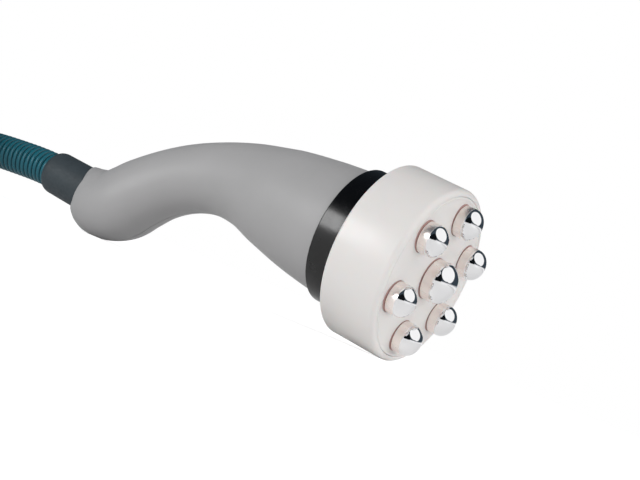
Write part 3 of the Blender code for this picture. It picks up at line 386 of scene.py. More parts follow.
def combine(mesh, operation, tools):
    """The mesh after the exact union, difference or intersection with each of the tools, which
    are then removed."""
    target = placed("target", mesh)
    for other in tools:
        step = target.modifiers.new(other.name, "BOOLEAN")
        step.operation, step.solver, step.object = operation, "EXACT", other
    graph = bpy.context.evaluated_depsgraph_get()
    made = bpy.data.meshes.new_from_object(target.evaluated_get(graph))
    made.name = mesh.name
    for thing in (target, *tools):
        bpy.data.objects.remove(thing, do_unlink=True)
    made.shade_smooth()
    made.set_sharp_from_angle(angle=math.radians(SMOOTH_UP_TO))
    return made


# The plate's profile is a parabola over the crown, half a cosine wave across the bead, and a
# quarter circle at the edge
rim = np.linspace(0, PLATE_RADIUS - BEAD_WIDTH - PLATE_EDGE, 12)
crown = PLATE_CROWN * (1 - (rim / ELECTRODE_CIRCLE) ** 2)
bead_share = np.linspace(0, 1, 7)[1:]
bead = np.stack((crown[-1] * (1 + np.cos(math.pi * bead_share)) / 2,
                 rim[-1] + BEAD_WIDTH * bead_share), 1)
edge_turn = np.linspace(0, math.pi / 2, 5)[1:]
edge = np.stack((PLATE_EDGE * (np.cos(edge_turn) - 1),
                 PLATE_RADIUS - PLATE_EDGE * (1 - np.sin(edge_turn))), 1)
plate_profile = np.vstack((
    np.stack((crown, rim), 1), bead, edge,
    [(-PLATE_THICKNESS, PLATE_RADIUS), (-PLATE_THICKNESS, 0)]))
plate_mesh = skin("face_disc", laid(turned(plate_profile, HEAD_SIDES)), "flat")
middle = -PLATE_THICKNESS / 2
plate_mesh = combine(plate_mesh, "UNION", [
    peg("boss", -BOSS_BACK, middle, BOSS_RADIUS, y, z) for _, y, z, *_ in ELECTRODES
] + [peg("post", GAP - HEAD_FLOOR, middle, POST_RADIUS, y, z) for y, z in POSTS])
plate_mesh = combine(plate_mesh, "DIFFERENCE", [
    peg("seat", raised - SEAL_THICKNESS + SEAL_PROUD - GAP, raised + CUT_PAST,
        radius + SEAL_RIM + GAP / 2, y, z, 64)
    for _, y, z, radius, _, _, raised in ELECTRODES
] + [
    peg("stud_hole", -BOSS_BACK - CUT_PAST, CUT_PAST, STUD_BORE, y, z)
    for _, y, z, *_ in ELECTRODES
] + [peg("pilot", -PILOT_BACK, -PILOT_FRONT, PILOT_RADIUS, y, z, 24) for y, z in POSTS])
add_piece("face_disc", plate_mesh, white_abs, "white_plastic", "face_plate")

# Seals
# A thin silicone ring under each electrode keeps gel out of the head. Only its edge shows,
# as a fine old-rose line where the chrome meets the plate.

# Moulded silicone rubber: dull, a little uneven in colour, with a tooth of a third of a
# millimetre, coarser than the real one so that it shows.
silicone = finish("rose_silicone", colour=(600, 2, "#bd918b", "#cda7a1"),
                  relief=(3000, 2, 0.01 * MM), constants={"Roughness": 0.6})
for label, y, z, radius, _, _, raised in ELECTRODES:
    back = raised + SEAL_PROUD - SEAL_THICKNESS
    front = raised + SEAL_PROUD
    outer = radius + SEAL_RIM
    ring = turned(rounded([(back, STUD_BORE, 0), (back, outer, 0.15 * MM),
                           (front, outer, 0.12 * MM), (front, STUD_BORE, 0)], 4), 96)
    name = f"seal_ring_{label}"
    add_piece(name, skin(name, laid(ring + (0, y, z))), silicone, "seal_rubber", f"seal_{label}")

# Electrodes
# Solid brass buttons, turned, polished and chromed: a domed top that is a clean mirror, a
# side that keeps fine brushed lines, and a stud behind that its nut pulls tight.
STUD_RADIUS, STUD_LENGTH, STUD_CHAMFER = 1.9 * MM, 16.0 * MM, 0.3 * MM
BUTTON_EDGE = 0.15 * MM
DOME_SPARE = 0.05 * MM
# Chromium plate over brass: a faint smear on the dome, and on the side fine lines up it, 150
# to the turn, which are 0.3 to 0.4 mm apart. The side's warm cream-pink colour is a painted
# reflection of the white plate round it.
chrome = finish("chromed_brass", constants={"Metallic": 1.0})
tree = chrome.node_tree
where = add_node(tree, "ShaderNodeTexCoord", {}).outputs["Object"]
side = add_node(tree, "ShaderNodeAttribute", {}, attribute_name="side").outputs["Fac"]
side_map = add_node(tree, "ShaderNodeUVMap", {}, uv_map="UVMap").outputs["UV"]
side_map = add_node(tree, "ShaderNodeMapping", {
    "Vector": side_map, "Scale": (150, 60, 1)}).outputs["Vector"]
lines = add_node(tree, "ShaderNodeTexNoise", {
    "Vector": side_map, "Scale": 1.0, "Detail": 1}).outputs["Fac"]
smear = add_node(tree, "ShaderNodeTexNoise", {
    "Vector": where, "Scale": 220, "Detail": 3}).outputs["Fac"]
polish, brushed = (add_node(tree, "ShaderNodeMapRange", {
    "Value": noise, "From Min": NOISE_LOW, "From Max": NOISE_HIGH, "To Min": low, "To Max": high,
}).outputs["Result"] for noise, low, high in ((smear, 0.025, 0.06), (lines, 0.26, 0.42)))
line_depth = add_node(tree, "ShaderNodeMath", {0: side, 1: lines}, operation="MULTIPLY")
fill(tree, tree.nodes["Principled BSDF"], {
    # The side's cream-pink colour is a painted reflection of the plate; the dome's grey is the
    # chrome's own
    "Base Color": add_node(tree, "ShaderNodeMix", {
        0: side, 6: linear("#f3f3f4"), 7: linear("#faf1ec")}, data_type="RGBA").outputs[2],
    "Roughness": add_node(tree, "ShaderNodeMix", {0: side, 2: polish, 3: brushed}).outputs[0],
    "Normal": add_node(tree, "ShaderNodeBump", {
        "Height": line_depth.outputs[0], "Strength": 1.0,
        "Distance": 0.012 * MM}).outputs["Normal"]})
for label, y, z, radius, height, dome, raised in ELECTRODES:
    base = raised + SEAL_PROUD + GAP
    crest = base + height
    # The dome is a quarter ellipse, a hair lower than the solid's, and a fine crease parts it
    # from the side
    rise = np.radians(np.linspace(1.5, 90, 28))
    cap = np.stack((crest + (dome - DOME_SPARE) * np.sin(rise),
                    (radius - 0.04 * MM) * np.cos(rise)), 1)
    stem = [(-STUD_LENGTH, 0), (-STUD_LENGTH, STUD_RADIUS - STUD_CHAMFER),
            (STUD_CHAMFER - STUD_LENGTH, STUD_RADIUS), (base, STUD_RADIUS),
            (base, radius - BUTTON_EDGE), (base + BUTTON_EDGE, radius)]
    wall = [(x, radius) for x in np.linspace(base + 0.4 * MM, crest - 0.06 * MM, 5)]
    crease = [(crest - 0.02 * MM, radius - 0.05 * MM)]
    profile = np.vstack((stem, wall, crease, cap))
    on_side = np.zeros(len(profile))
    on_side[:len(stem) + len(wall)] = 1
    name = f"electrode_button_{label}"
    grid = laid(turned(profile, 96) + (0, y, z))
    add_piece(name, skin(name, grid, "flat", marks={"side": on_side}), chrome, "chrome",
              f"electrode_{label}")

# Stud nuts
# Nickel-plated steel nuts clamp the electrodes and the circuit board behind the face plate.
# They are inside the head, and their plating is duller than the chrome outside.

# Nickel plate: a warm grey metal with a satin that varies every 3 mm, and shallow waves.
nickel = finish("nickel_plate", colour=(90, 3, "#b9b4aa", "#cfcbc2"),
                roughness=(300, 3, 0.26, 0.36), relief=(700, 2, 0.0015 * MM),
                constants={"Metallic": 1.0})


def dress(look, *nodes):
    """CAD nodes that keep their own shape, with a material."""
    for node in nodes:
        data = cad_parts[node].data
        data.materials.clear()
        data.materials.append(look)


dress(nickel, *(f"stud_nut_{label}" for label, *_ in ELECTRODES))

# Electrode board
# A round board of woven glass and epoxy under green lacquer. It feeds each electrode
# through its nut, and the cable plugs into the cream nylon header on it.

# Solder lacquer over woven glass: glossy green, with the weave's squares of 0.45 mm in relief.
lacquer = finish("board_lacquer", colour=(160, 3, "#0d4a2a", "#17663a"),
                 constants={"Roughness": 0.28, "Coat Weight": 0.5})
tree = lacquer.node_tree
where = add_node(tree, "ShaderNodeTexCoord", {}).outputs["Object"]
weave = add_node(tree, "ShaderNodeTexChecker", {"Vector": where, "Scale": 2200}).outputs["Fac"]
fill(tree, tree.nodes["Principled BSDF"], {"Normal": add_node(tree, "ShaderNodeBump", {
    "Height": weave, "Strength": 1.0, "Distance": 0.01 * MM}).outputs["Normal"]})
dress(lacquer, "electrode_board")
# Moulded nylon: cream, half matt, with a faint mottle.
nylon = finish("cream_nylon", colour=(300, 2, "#d9cfb4", "#e4dcc4"),
               roughness=(1200, 2, 0.40, 0.55))
dress(nylon, "board_header")

# Screws
# Small cross-head screws of bright steel: three hold the collar and cup to the face plate's
# posts, and four join the two halves of the handle from its far side.

# Zinc-plated steel: bright, with a polish that is blotchy every 0.7 mm.
steel = finish("screw_steel", colour=(500, 3, "#a2a3a6", "#c3c4c7"),
               roughness=(1500, 2, 0.22, 0.42), constants={"Metallic": 1.0})
dress(steel, *(f"head_screw_{k}" for k in (1, 2, 3)), *(f"shell_screw_{k}" for k in (1, 2, 3, 4)))

# Collar
# A piano-black ring between head and handle, moulded and polished. Its flange is screwed
# through the cup's back, and the handle's spigot is held inside it.
COLLAR_RADIUS = 31.7 * MM
COLLAR_FRONT = HEAD_DEPTH + GAP
COLLAR_BACK = HEAD_DEPTH + 14.8 * MM
COLLAR_BORE = COLLAR_RADIUS - 2.6 * MM
COLLAR_FLOOR = COLLAR_FRONT + 2.5 * MM
# Black ABS, polished in the mould and lacquered: near black, with a satin gloss that long,
# shallow waves disturb.
piano_black = finish("piano_black", colour=(120, 3, "#020202", "#050405"),
                     roughness=(260, 4, 0.20, 0.28), relief=(150, 2, 0.01 * MM),
                     constants={"Coat Weight": 0.1, "Coat Roughness": 0.15})
collar_profile = rounded([
    (-COLLAR_FRONT, PORT_RADIUS, 0), (-COLLAR_FRONT, COLLAR_RADIUS, 0.5 * MM),
    (-COLLAR_BACK, COLLAR_RADIUS, 0.6 * MM), (-COLLAR_BACK, COLLAR_BORE, 0.15 * MM),
    (-COLLAR_FLOOR, COLLAR_BORE, 0), (-COLLAR_FLOOR, PORT_RADIUS, 0),
])
collar_mesh = skin("neck_collar", laid(turned(collar_profile, HEAD_SIDES)))
add_piece("neck_collar", collar_mesh, piano_black, "black_gloss", "collar_ring")

# Handle
# Two half shells of grey ABS with a soft-touch lacquer, joined on the plane of symmetry. The
# shells narrow and bend down behind the head, then swell into a bulb that grips the cuff.
HANDLE_FRONT = COLLAR_BACK + GAP
HANDLE_LENGTH = 139.9 * MM
HANDLE_DROP = 40.6 * MM
HANDLE_RADIUS = 29.6 * MM
HANDLE_WALL = 2.4 * MM
TAIL_END = HANDLE_FRONT + HANDLE_LENGTH
FLANGE_SEAT = 6.3 * MM
CUFF_FLANGE_WIDTH = 2.4 * MM
TAIL_LIP = 2.0 * MM
TAIL_STRAIGHT = FLANGE_SEAT + CUFF_FLANGE_WIDTH + 2 * GAP + TAIL_LIP
MOUTH_SWEEP = 5.0 * MM
MOUTH_RISE = 0.6 * MM
FRONT_BREAK = 0.35 * MM
CUFF_RADIUS = 10.85 * MM
CUFF_FLANGE_RADIUS = 12.6 * MM
SPIGOT_RADIUS = COLLAR_BORE - GAP
SPIGOT_DEPTH = 9.0 * MM
# Stations from the collar to the tail: share of the length, of the drop and of the radius
SPINE = np.array((
    (0.000, 0.000, 1.000), (0.130, -0.001, 0.936), (0.279, -0.004, 0.818),
    (0.401, 0.011, 0.678), (0.508, 0.085, 0.584), (0.630, 0.269, 0.544),
    (0.722, 0.499, 0.552), (0.782, 0.709, 0.584), (0.827, 0.887, 0.598),
    (0.873, 0.980, 0.575), (0.919, 1.010, 0.544), (0.945, 1.008, 0.515),
    (0.965, 1.002, 0.481), (0.984, 0.991, 0.450), (1.000, 0.978, 0.419),
))
CUFF_DROP = SPINE[-1, 1] * HANDLE_DROP - MOUTH_RISE


def distances(line, measured):
    """How far along a line each of its points lies: the lengths of its steps, added up. Only
    the first columns are places, as many as are measured."""
    steps = np.linalg.norm(np.diff(line[:, :measured], axis=0), axis=1)
    return np.append(0, np.cumsum(steps))


def smooth_line(points, measured, last=None):
    """Cubic through points, 40 samples a span: the Hermite blend of each span's two ends and
    their slopes, where a slope is the central difference over the chords of the points. The
    last slope may be given."""
    points = np.asarray(points, float)
    knots = distances(points, measured)
    slopes = np.gradient(points, knots, axis=0)
    if last is not None:
        slopes[-1] = last
    s = np.linspace(0, 1, 40, endpoint=False)[None, :, None]
    span = np.diff(knots)[:, None, None]
    start, end, rise, fall = (part[:, None] for part in (points[:-1], points[1:],
                                                         slopes[:-1], slopes[1:]))
    dense = ((2 * s**3 - 3 * s**2 + 1) * start + (s**3 - 2 * s**2 + s) * span * rise
             + (3 * s**2 - 2 * s**3) * end + (s**3 - s**2) * span * fall)
    return np.vstack((dense.reshape(-1, points.shape[1]), points[-1:]))


def read_at(line, along, spots):
    """A line's columns at given distances along it, each in proportion between its points."""
    return np.stack([np.interp(spots, along, column) for column in line.T], 1)


# The bend table has the handle's middle line up to the tail: x, z, radius and the way (x, z).
# Along it counts the length of the line, plus the turning of the way times the radius, so
# that sections lie closer where the handle bends.
stations = SPINE * (-HANDLE_LENGTH, -HANDLE_DROP, HANDLE_RADIUS) - (HANDLE_FRONT, 0, 0)
spine = smooth_line(stations, 2)
spine_along = distances(spine, 2)
spine = read_at(spine, spine_along, np.linspace(0, spine_along[-1], 800))
before_tail = spine[spine[:, 0] > TAIL_STRAIGHT - TAIL_END]
ways = np.gradient(before_tail[:, :2], axis=0)
ways /= np.linalg.norm(ways, axis=1)[:, None]
ways[0] = (-1, 0)
bend_along = np.append(0, np.cumsum(
    np.linalg.norm(np.diff(before_tail[:, :2], axis=0), axis=1)
    + HANDLE_RADIUS * np.linalg.norm(np.diff(ways, axis=0), axis=1)))
bend_table = np.hstack((before_tail, ways))


def handle_sections(count, lip_steps):
    """Rows of the handle: x, way (x, z), outer z and radius, inner z and radius, sweep. They
    are the spigot, the bent body read from its table, and the straight tail, with the groove
    for the cuff's flange and a mouth whose two edges are broken in small steps."""
    inner_spigot = SPIGOT_RADIUS - HANDLE_WALL
    front = -HANDLE_FRONT
    spigot = [(front + SPIGOT_DEPTH, -1, 0, 0, SPIGOT_RADIUS - GAP, 0, inner_spigot, 0),
              (front + SPIGOT_DEPTH - 2 * GAP, -1, 0, 0, SPIGOT_RADIUS, 0, inner_spigot, 0),
              (front + GAP, -1, 0, 0, SPIGOT_RADIUS, 0, inner_spigot, 0)]
    x, z, radius, way_x, way_z = read_at(
        bend_table, bend_along, np.linspace(0, bend_along[-1], count)).T
    body = np.stack((x, way_x, way_z, z, radius, z, radius - HANDLE_WALL, 0 * x), 1)
    soft = body[0].copy()
    soft[4] -= FRONT_BREAK
    body[0, 0] -= FRONT_BREAK
    snug, groove = CUFF_RADIUS + GAP, CUFF_FLANGE_RADIUS + GAP
    groove_front = TAIL_STRAIGHT - TAIL_LIP
    share = np.linspace(0.1, 0.96, lip_steps)
    back = np.concatenate(([TAIL_STRAIGHT - GAP, groove_front + GAP / 2, groove_front - GAP / 2,
                            FLANGE_SEAT + GAP / 2, FLANGE_SEAT - GAP / 2],
                           (1 - share) * FLANGE_SEAT, [0.08 * MM, 0]))
    hole = np.full(len(back), snug)
    hole[2:4] = groove
    hole[-2:] += (0.08 * MM, 0.25 * MM)
    sweep = np.concatenate((np.zeros(5), share * MOUTH_SWEEP, [MOUTH_SWEEP, MOUTH_SWEEP]))
    x = back - TAIL_END
    z = np.interp(-x, -spine[:, 0], spine[:, 1])
    outer = np.interp(-x, -spine[:, 0], spine[:, 2])
    outer[-2:] -= (0.12 * MM, 0.45 * MM)
    tail = np.stack((x, 0 * x - 1, 0 * x, z, outer, 0 * x - CUFF_DROP, hole, sweep), 1)
    return np.vstack((spigot, [soft], body, tail))


def half_shell(name, side, count, lip_steps, steps, shrink=0):
    """One half of the handle. At angle a from the top, a section's point lies at its radius
    along (way z cos a, side sin a, -way x cos a), and sweep pulls the mouth's sides forward.
    Shrunk, it is a solid core that ends inside the wall."""
    x, way_x, way_z, outer_z, outer, inner_z, inner, sweep = (
        column[:, None] for column in handle_sections(count, lip_steps).T)
    angle = np.linspace(0, math.pi, steps + 1)
    turns = angle if shrink else np.concatenate((angle, angle[::-1]))
    outside = np.arange(len(turns)) <= steps
    radius = np.where(outside, outer - shrink, inner)
    level = np.where(outside, outer_z, inner_z)
    grid = laid(np.stack((
        x + way_z * radius * np.cos(turns) + sweep * np.sin(turns) ** 2,
        side * (GAP / 2 + radius * np.sin(turns)),
        level - way_x * radius * np.cos(turns)), -1))
    return skin(name, grid, "flat" if shrink else "wall", crease=50)


# Soft-touch lacquer on ABS: an even matt grey with the faint cloudiness that handling leaves,
# a slight sheen at shallow angles, and a dry grain of 0.3 mm, coarser than the real one so
# that it shows.
soft_grey = finish("soft_touch_grey", colour=(35, 4, "#a7a7a7", "#b1b0b1"),
                   roughness=(500, 3, 0.42, 0.52), relief=(3500, 2, 0.012 * MM),
                   constants={"Sheen Weight": 0.08, "Sheen Roughness": 0.4})

PIN_RADIUS = 4.2 * MM
HOLE_RADIUS, HOLE_THROUGH, HOLE_BLIND = 1.55 * MM, 31.0 * MM, 8.0 * MM
POCKET_RADIUS, POCKET_DEPTH = 2.9 * MM, 1.0 * MM
# Each screw's share of the way along the bent body, and of the radius there above the middle
SCREW_PLACES = np.array(((0.20, 0.62), (0.20, -0.62), (0.64, 0.50), (0.64, -0.50)))
screw_x, screw_z, screw_radius, screw_way_x, screw_way_z = read_at(
    bend_table, bend_along, SCREW_PLACES[:, 0] * bend_along[-1]).T
screw_off = SCREW_PLACES[:, 1] * screw_radius
# x and z of each screw, and how far from the middle plane the wall's inside is there
SCREWS = np.stack((screw_x + screw_way_z * screw_off, screw_z - screw_way_x * screw_off,
                   np.sqrt((screw_radius - HANDLE_WALL) ** 2 - screw_off**2)), 1)


def across(name, x, z, start, end, radius, sides=48):
    """A round tool across the handle, from one side distance to another."""
    grid = turned([(start, radius), (end, radius)], sides)
    grid = np.stack((grid[..., 1] + x, grid[..., 0], grid[..., 2] + z), -1)
    return placed(name, skin(name, laid(grid), "flat"))


for name, side in (("handle_half_left", 1), ("handle_half_right", -1)):
    half = half_shell(name, side, count=110, lip_steps=9, steps=48)
    core = half_shell("core", side, count=60, lip_steps=4, steps=40, shrink=HANDLE_WALL / 2)
    half = combine(half, "UNION", [
        placed("boss", combine(core.copy(), "INTERSECT", [
            across("pin", x, z, side * GAP / 2, side * HANDLE_RADIUS, PIN_RADIUS)]))
        for x, z, _ in SCREWS])
    reach = HOLE_THROUGH if side > 0 else HOLE_BLIND
    half = combine(half, "DIFFERENCE", [
        across("hole", x, z, -side * CUT_PAST, side * reach, HOLE_RADIUS, 24)
        for x, z, _ in SCREWS])
    if side > 0:
        half = combine(half, "DIFFERENCE", [
            across("pocket", x, z, wall - POCKET_DEPTH, reach, POCKET_RADIUS)
            for x, z, wall in SCREWS])
    add_piece(name, half, soft_grey, "grey_plastic", name.replace("half", "shell"))

# Inner cable
# The black sheathed cable from the board's header through the port and down the handle into
# the cuff. Extruded PVC, with a dry sheath whose dullness varies every millimetre.
sheath = finish("cable_sheath", colour=(200, 2, "#1b1b1c", "#262627"),
                roughness=(900, 2, 0.45, 0.62))


def along_line(centre, radius, around):
    """Grid of a tube: centre plus radius times (cos a side + sin a up), where side is level and
    square to the line, and up is square to both."""
    way = np.gradient(centre, axis=0)
    side = np.cross(way, (0, 0, 1))
    side /= np.linalg.norm(side, axis=1)[:, None]
    up = np.cross(side, way)
    up /= np.linalg.norm(up, axis=1)[:, None]
    angle = np.arange(around) * math.tau / around
    radius = np.broadcast_to(radius, len(centre))[:, None, None]
    return centre[:, None] + radius * (np.cos(angle)[None, :, None] * side[:, None]
                                       + np.sin(angle)[None, :, None] * up[:, None])


CABLE_RADIUS, CABLE_OFF = 3.0 * MM, 9.0 * MM
BOARD_THICKNESS, HEADER_HEIGHT = 1.6 * MM, 6.3 * MM
HEADER_BACK = BOSS_BACK + GAP + BOARD_THICKNESS + GAP + HEADER_HEIGHT
CUFF_MOUTH = TAIL_END + 22.0 * MM
SOCKET_FLOOR = CUFF_MOUTH - 17.0 * MM
cable_places = np.vstack((
    [(-HEADER_BACK - GAP, CABLE_OFF), (-COLLAR_FRONT, CABLE_OFF)],
    read_at(bend_table, bend_along, np.linspace(0, bend_along[-1], 12))[2:, :2],
    [(-TAIL_END, -CUFF_DROP), (2.0 * MM - SOCKET_FLOOR, -CUFF_DROP)]))
cable = smooth_line(cable_places, 2, (-1, 0))
cable_along = distances(cable, 2)
cable = read_at(cable, cable_along, np.linspace(0, cable_along[-1], 160))
cable_grid = along_line(laid(np.stack((cable[:, 0], 0 * cable[:, 0], cable[:, 1]), 1)),
                        CABLE_RADIUS, 32)
add_piece("core_cable", skin("core_cable", cable_grid, "flat"), sheath, "cable_sheath",
          "inner_cable")

# Cuff
# A slate rubber sleeve over the hose's end, moulded with a flange that the two shells trap.
# Its mouth is rounded over.

# Slate-grey rubber: matt and mottled, with a dusty bloom and a tooth of half a millimetre.
slate = finish("slate_rubber", colour=(150, 4, "#30393e", "#3f494f"),
               roughness=(700, 3, 0.50, 0.68), relief=(2200, 3, 0.02 * MM))
HOSE_RADIUS = 8.7 * MM
CUFF_BORE = 5.5 * MM
SHOULDER_RADIUS, SHOULDER_DEPTH = 10.65 * MM, 3.0 * MM
cuff_flange_back = TAIL_END - FLANGE_SEAT - GAP
cuff_flange_front = cuff_flange_back - CUFF_FLANGE_WIDTH
cuff_front = cuff_flange_front - 6.5 * MM
lip = HOSE_RADIUS + 2 * GAP
shoulder_angle = np.radians(np.linspace(0, 90, 12))
shoulder = np.stack((SHOULDER_DEPTH * (1 - np.sin(shoulder_angle)) - CUFF_MOUTH,
                     lip + (SHOULDER_RADIUS - lip) * np.cos(shoulder_angle)), 1)
cuff_profile = np.vstack((
    rounded([(-cuff_front, CUFF_BORE, 0.3 * MM), (-cuff_front, CUFF_RADIUS, 0.6 * MM),
             (-cuff_flange_front, CUFF_RADIUS, 0),
             (-cuff_flange_front, CUFF_FLANGE_RADIUS, 0.4 * MM),
             (-cuff_flange_back, CUFF_FLANGE_RADIUS, 0.4 * MM),
             (-cuff_flange_back, CUFF_RADIUS, 0), (-TAIL_END, CUFF_RADIUS, 0)]),
    shoulder,
    [(-CUFF_MOUTH, HOSE_RADIUS + GAP), (-SOCKET_FLOOR, HOSE_RADIUS + GAP),
     (-SOCKET_FLOOR, CUFF_BORE)]))
cuff_mesh = skin("cuff_sleeve", laid(turned(cuff_profile, 128) - (0, 0, CUFF_DROP)))
add_piece("cuff_sleeve", cuff_mesh, slate, "slate_rubber", "hose_cuff")

# Hose
# Corrugated tube of teal polyamide, 17.4 mm across, with a rib every 2.8 mm. It runs straight
# out of the cuff, sags to the table, and is wound there in three turns piled on each other.
RIB_PITCH = 2.8 * MM
ROOT_RADIUS = 7.5 * MM
# The middle line, from inside the cuff to where the coil starts
HOSE_ROUTE = (
    (-0.09317, 0, 0.01993), (-0.10182, 0, 0.02082), (-0.11048, 0, 0.02172),
    (-0.1197, 0, 0.0221), (-0.1305, 0, 0.0218), (-0.1413, 0, 0.0214),
    (-0.1521, 0, 0.0207), (-0.1629, 0.0002, 0.0192), (-0.1736, 0.0017, 0.0170),
    (-0.1839, 0.0048, 0.0144), (-0.1937, 0.0094, 0.0118), (-0.2027, 0.0154, 0.0099),
    (-0.2120, 0.0208, 0.0089), (-0.2220, 0.0248, 0.0088), (-0.2326, 0.0272, 0.0088),
    (-0.2433, 0.0280, 0.0088), (-0.2520, 0.0280, 0.0088), (-0.2607, 0.0280, 0.0088),
)
COIL_RADIUS = 90.0 * MM
COIL_PITCH = 18.5 * MM
TURN_STEPS = 24
COIL_TURNS = 56 / TURN_STEPS
# Where in a turn the hose climbs a layer and where it humps over its start, and how long each
# takes, in turns
CLIMB_START, CLIMB_TURNS = 0.60, 0.28
HUMP, HUMP_TURN, HUMP_TURNS = 7.0 * MM, 0.89, 0.085
EXIT_RADIUS, EXIT_ANGLE = 72.0 * MM, math.radians(60.0)
TIE_ANGLE = math.pi / 2 + 6.5 / TURN_STEPS * math.tau
TIE_THICKNESS = 1.2 * MM
TIE_HUMP = math.radians(30.0)
BACKSHELL_RADIUS = 13.0 * MM
STRAIGHT = 2 * HOSE_RADIUS
LINE_STEP = 0.5 * MM
SMOOTH_OVER = 33
coil_start = np.array(HOSE_ROUTE[-1]) - (GAP, 0, 0)
COIL_CENTRE = coil_start - (0, COIL_RADIUS, 0)


def ease(share):
    """A smooth step from 0 to 1: three squares of the share less two cubes."""
    share = np.clip(share, 0, 1)
    return share**2 * (3 - 2 * share)


def coil_line(turn):
    """The coil's middle line at a number of turns: a circle, whose first quarter starts and ends
    straight, at a height that steps up a layer a turn, with a hump over the coil's start and a
    low one over the strap."""
    angle = math.pi / 2 + math.tau * turn
    off_tie = (angle - TIE_ANGLE + math.pi) % math.tau - math.pi
    height = (TIE_THICKNESS + GAP) * np.exp(-((off_tie / TIE_HUMP) ** 2))
    for layer in range(2):
        height = height + COIL_PITCH * ease((turn - CLIMB_START - layer) / CLIMB_TURNS)
        height = height + HUMP * np.exp(-(((turn - HUMP_TURN - layer) / HUMP_TURNS) ** 2))
    corner = np.where(angle < math.pi, STRAIGHT, 0)
    return COIL_CENTRE + np.stack(((COIL_RADIUS - corner) * np.cos(angle) - corner,
                                   (COIL_RADIUS - corner) * np.sin(angle) + corner, height), -1)


coil = coil_line(np.linspace(0, COIL_TURNS, 3000))
leave = math.pi + math.tau * COIL_TURNS
bend = np.linspace(0, EXIT_ANGLE, 80)[1:]
leaving = coil[-1] + np.stack((
    EXIT_RADIUS * (np.sin(leave + bend) - math.sin(leave)),
    EXIT_RADIUS * (math.cos(leave) - np.cos(leave + bend)),
    (HOSE_RADIUS + GAP + BACKSHELL_RADIUS - COIL_PITCH) * ease(bend / EXIT_ANGLE)), -1)
heading = np.array((math.cos(leave + EXIT_ANGLE), math.sin(leave + EXIT_ANGLE), 0))
hose_end = leaving[-1] + STRAIGHT * heading
rough_line = np.vstack((smooth_line(HOSE_ROUTE, 3), coil_start, coil, leaving, hose_end))
rough_along = distances(rough_line, 3)
even_line = read_at(rough_line, rough_along, np.arange(0, rough_along[-1], LINE_STEP))
# Each point but the outermost becomes the mean of those round it
window = np.ones(SMOOTH_OVER) / SMOOTH_OVER
centreline = even_line.copy()
centreline[SMOOTH_OVER // 2:-(SMOOTH_OVER // 2)] = np.stack(
    [np.convolve(column, window, "valid") for column in even_line.T], 1)
centreline = np.vstack((centreline, hose_end[None]))
hose_along = distances(centreline, 3)
# Each rib's rows: their shares of the pitch, and of the rib's height
ribs = int(hose_along[-1] / RIB_PITCH)
rib_share = np.array((0, 0.09, 0.20, 0.5, 0.80, 0.91))
rib_height = np.array((0, 0.5, 0.93, 1.0, 0.93, 0.5))
rib_spots = ((np.arange(ribs)[:, None] + rib_share) * RIB_PITCH).ravel()
hose_rows = read_at(centreline, hose_along, rib_spots)
crest_share = np.tile(rib_height, ribs)
hose_grid = along_line(hose_rows, ROOT_RADIUS + (HOSE_RADIUS - ROOT_RADIUS) * crest_share, 24)
# The crest mark is also the mask of the painted shade in the grooves
hose_mesh = skin("hose", hose_grid, "flat", along=rib_spots, marks={"crest": crest_share},
                 crease=80)

# Teal polyamide, extruded and corrugated, with a low plastic sheen. The grooves are painted
# dark as shade and the crests keep the teal, each colour a little uneven.
teal = finish("teal_polyamide", roughness=(900, 2, 0.32, 0.44), relief=(1800, 2, 0.02 * MM))
tree = teal.node_tree
where = add_node(tree, "ShaderNodeTexCoord", {}).outputs["Object"]
# How high a point is on its rib: 0 in a groove, where the colour is painted shade, 1 on a crest
crest = add_node(tree, "ShaderNodeAttribute", {}, attribute_name="crest").outputs["Fac"]
groove_shade_and_crest = []
for per_metre, detail, dark, light in ((200, 2, "#05161a", "#0a2329"),
                                       (90, 4, "#085260", "#136e7f")):
    noise = add_node(tree, "ShaderNodeTexNoise", {
        "Vector": where, "Scale": per_metre, "Detail": detail}).outputs["Fac"]
    groove_shade_and_crest.append(add_node(tree, "ShaderNodeMix", {
        0: noise, 6: linear(dark), 7: linear(light)}, data_type="RGBA").outputs[2])
fill(tree, tree.nodes["Principled BSDF"], {"Base Color": add_node(tree, "ShaderNodeMix", {
    0: crest, 6: groove_shade_and_crest[0], 7: groove_shade_and_crest[1]}, data_type="RGBA").outputs[2]})
hose = add_piece("hose", hose_mesh, teal, "teal_hose", "hose_lead", "hose_coil")

# Strap
# A black hook-and-loop strap of woven nylon, 12 mm wide, drawn round the coil's piled turns.
# Its end lies over itself on the outer side.
TIE_WIDTH = 12.0 * MM
STRAP_START, STRAP_END = -1.2, math.tau - 0.15
LAP_START, LAP_TURN, LAP_DEPTH = 4.9, 0.3, 0.15 * MM
# How fast the band passes from one half circle to the other
STRAP_CHANGE = 40

# Woven nylon: two blacks in raised squares of 0.7 mm, 40 round the band's section, coarser
# than the real threads so that they show.
webbing = finish("black_webbing", constants={"Roughness": 0.85, "Sheen Weight": 0.3})
tree = webbing.node_tree
strap_map = add_node(tree, "ShaderNodeUVMap", {}, uv_map="UVMap").outputs["UV"]
strap_map = add_node(tree, "ShaderNodeMapping", {
    "Vector": strap_map, "Scale": (40, 1400, 1)}).outputs["Vector"]
threads = add_node(tree, "ShaderNodeTexChecker", {
    "Vector": strap_map, "Scale": 1.0}).outputs["Fac"]
fill(tree, tree.nodes["Principled BSDF"], {
    "Base Color": add_node(tree, "ShaderNodeMix", {
        0: threads, 6: linear("#131315"), 7: linear("#222225")}, data_type="RGBA").outputs[2],
    "Normal": add_node(tree, "ShaderNodeBump", {
        "Height": threads, "Strength": 1.0, "Distance": 0.12 * MM}).outputs["Normal"]})


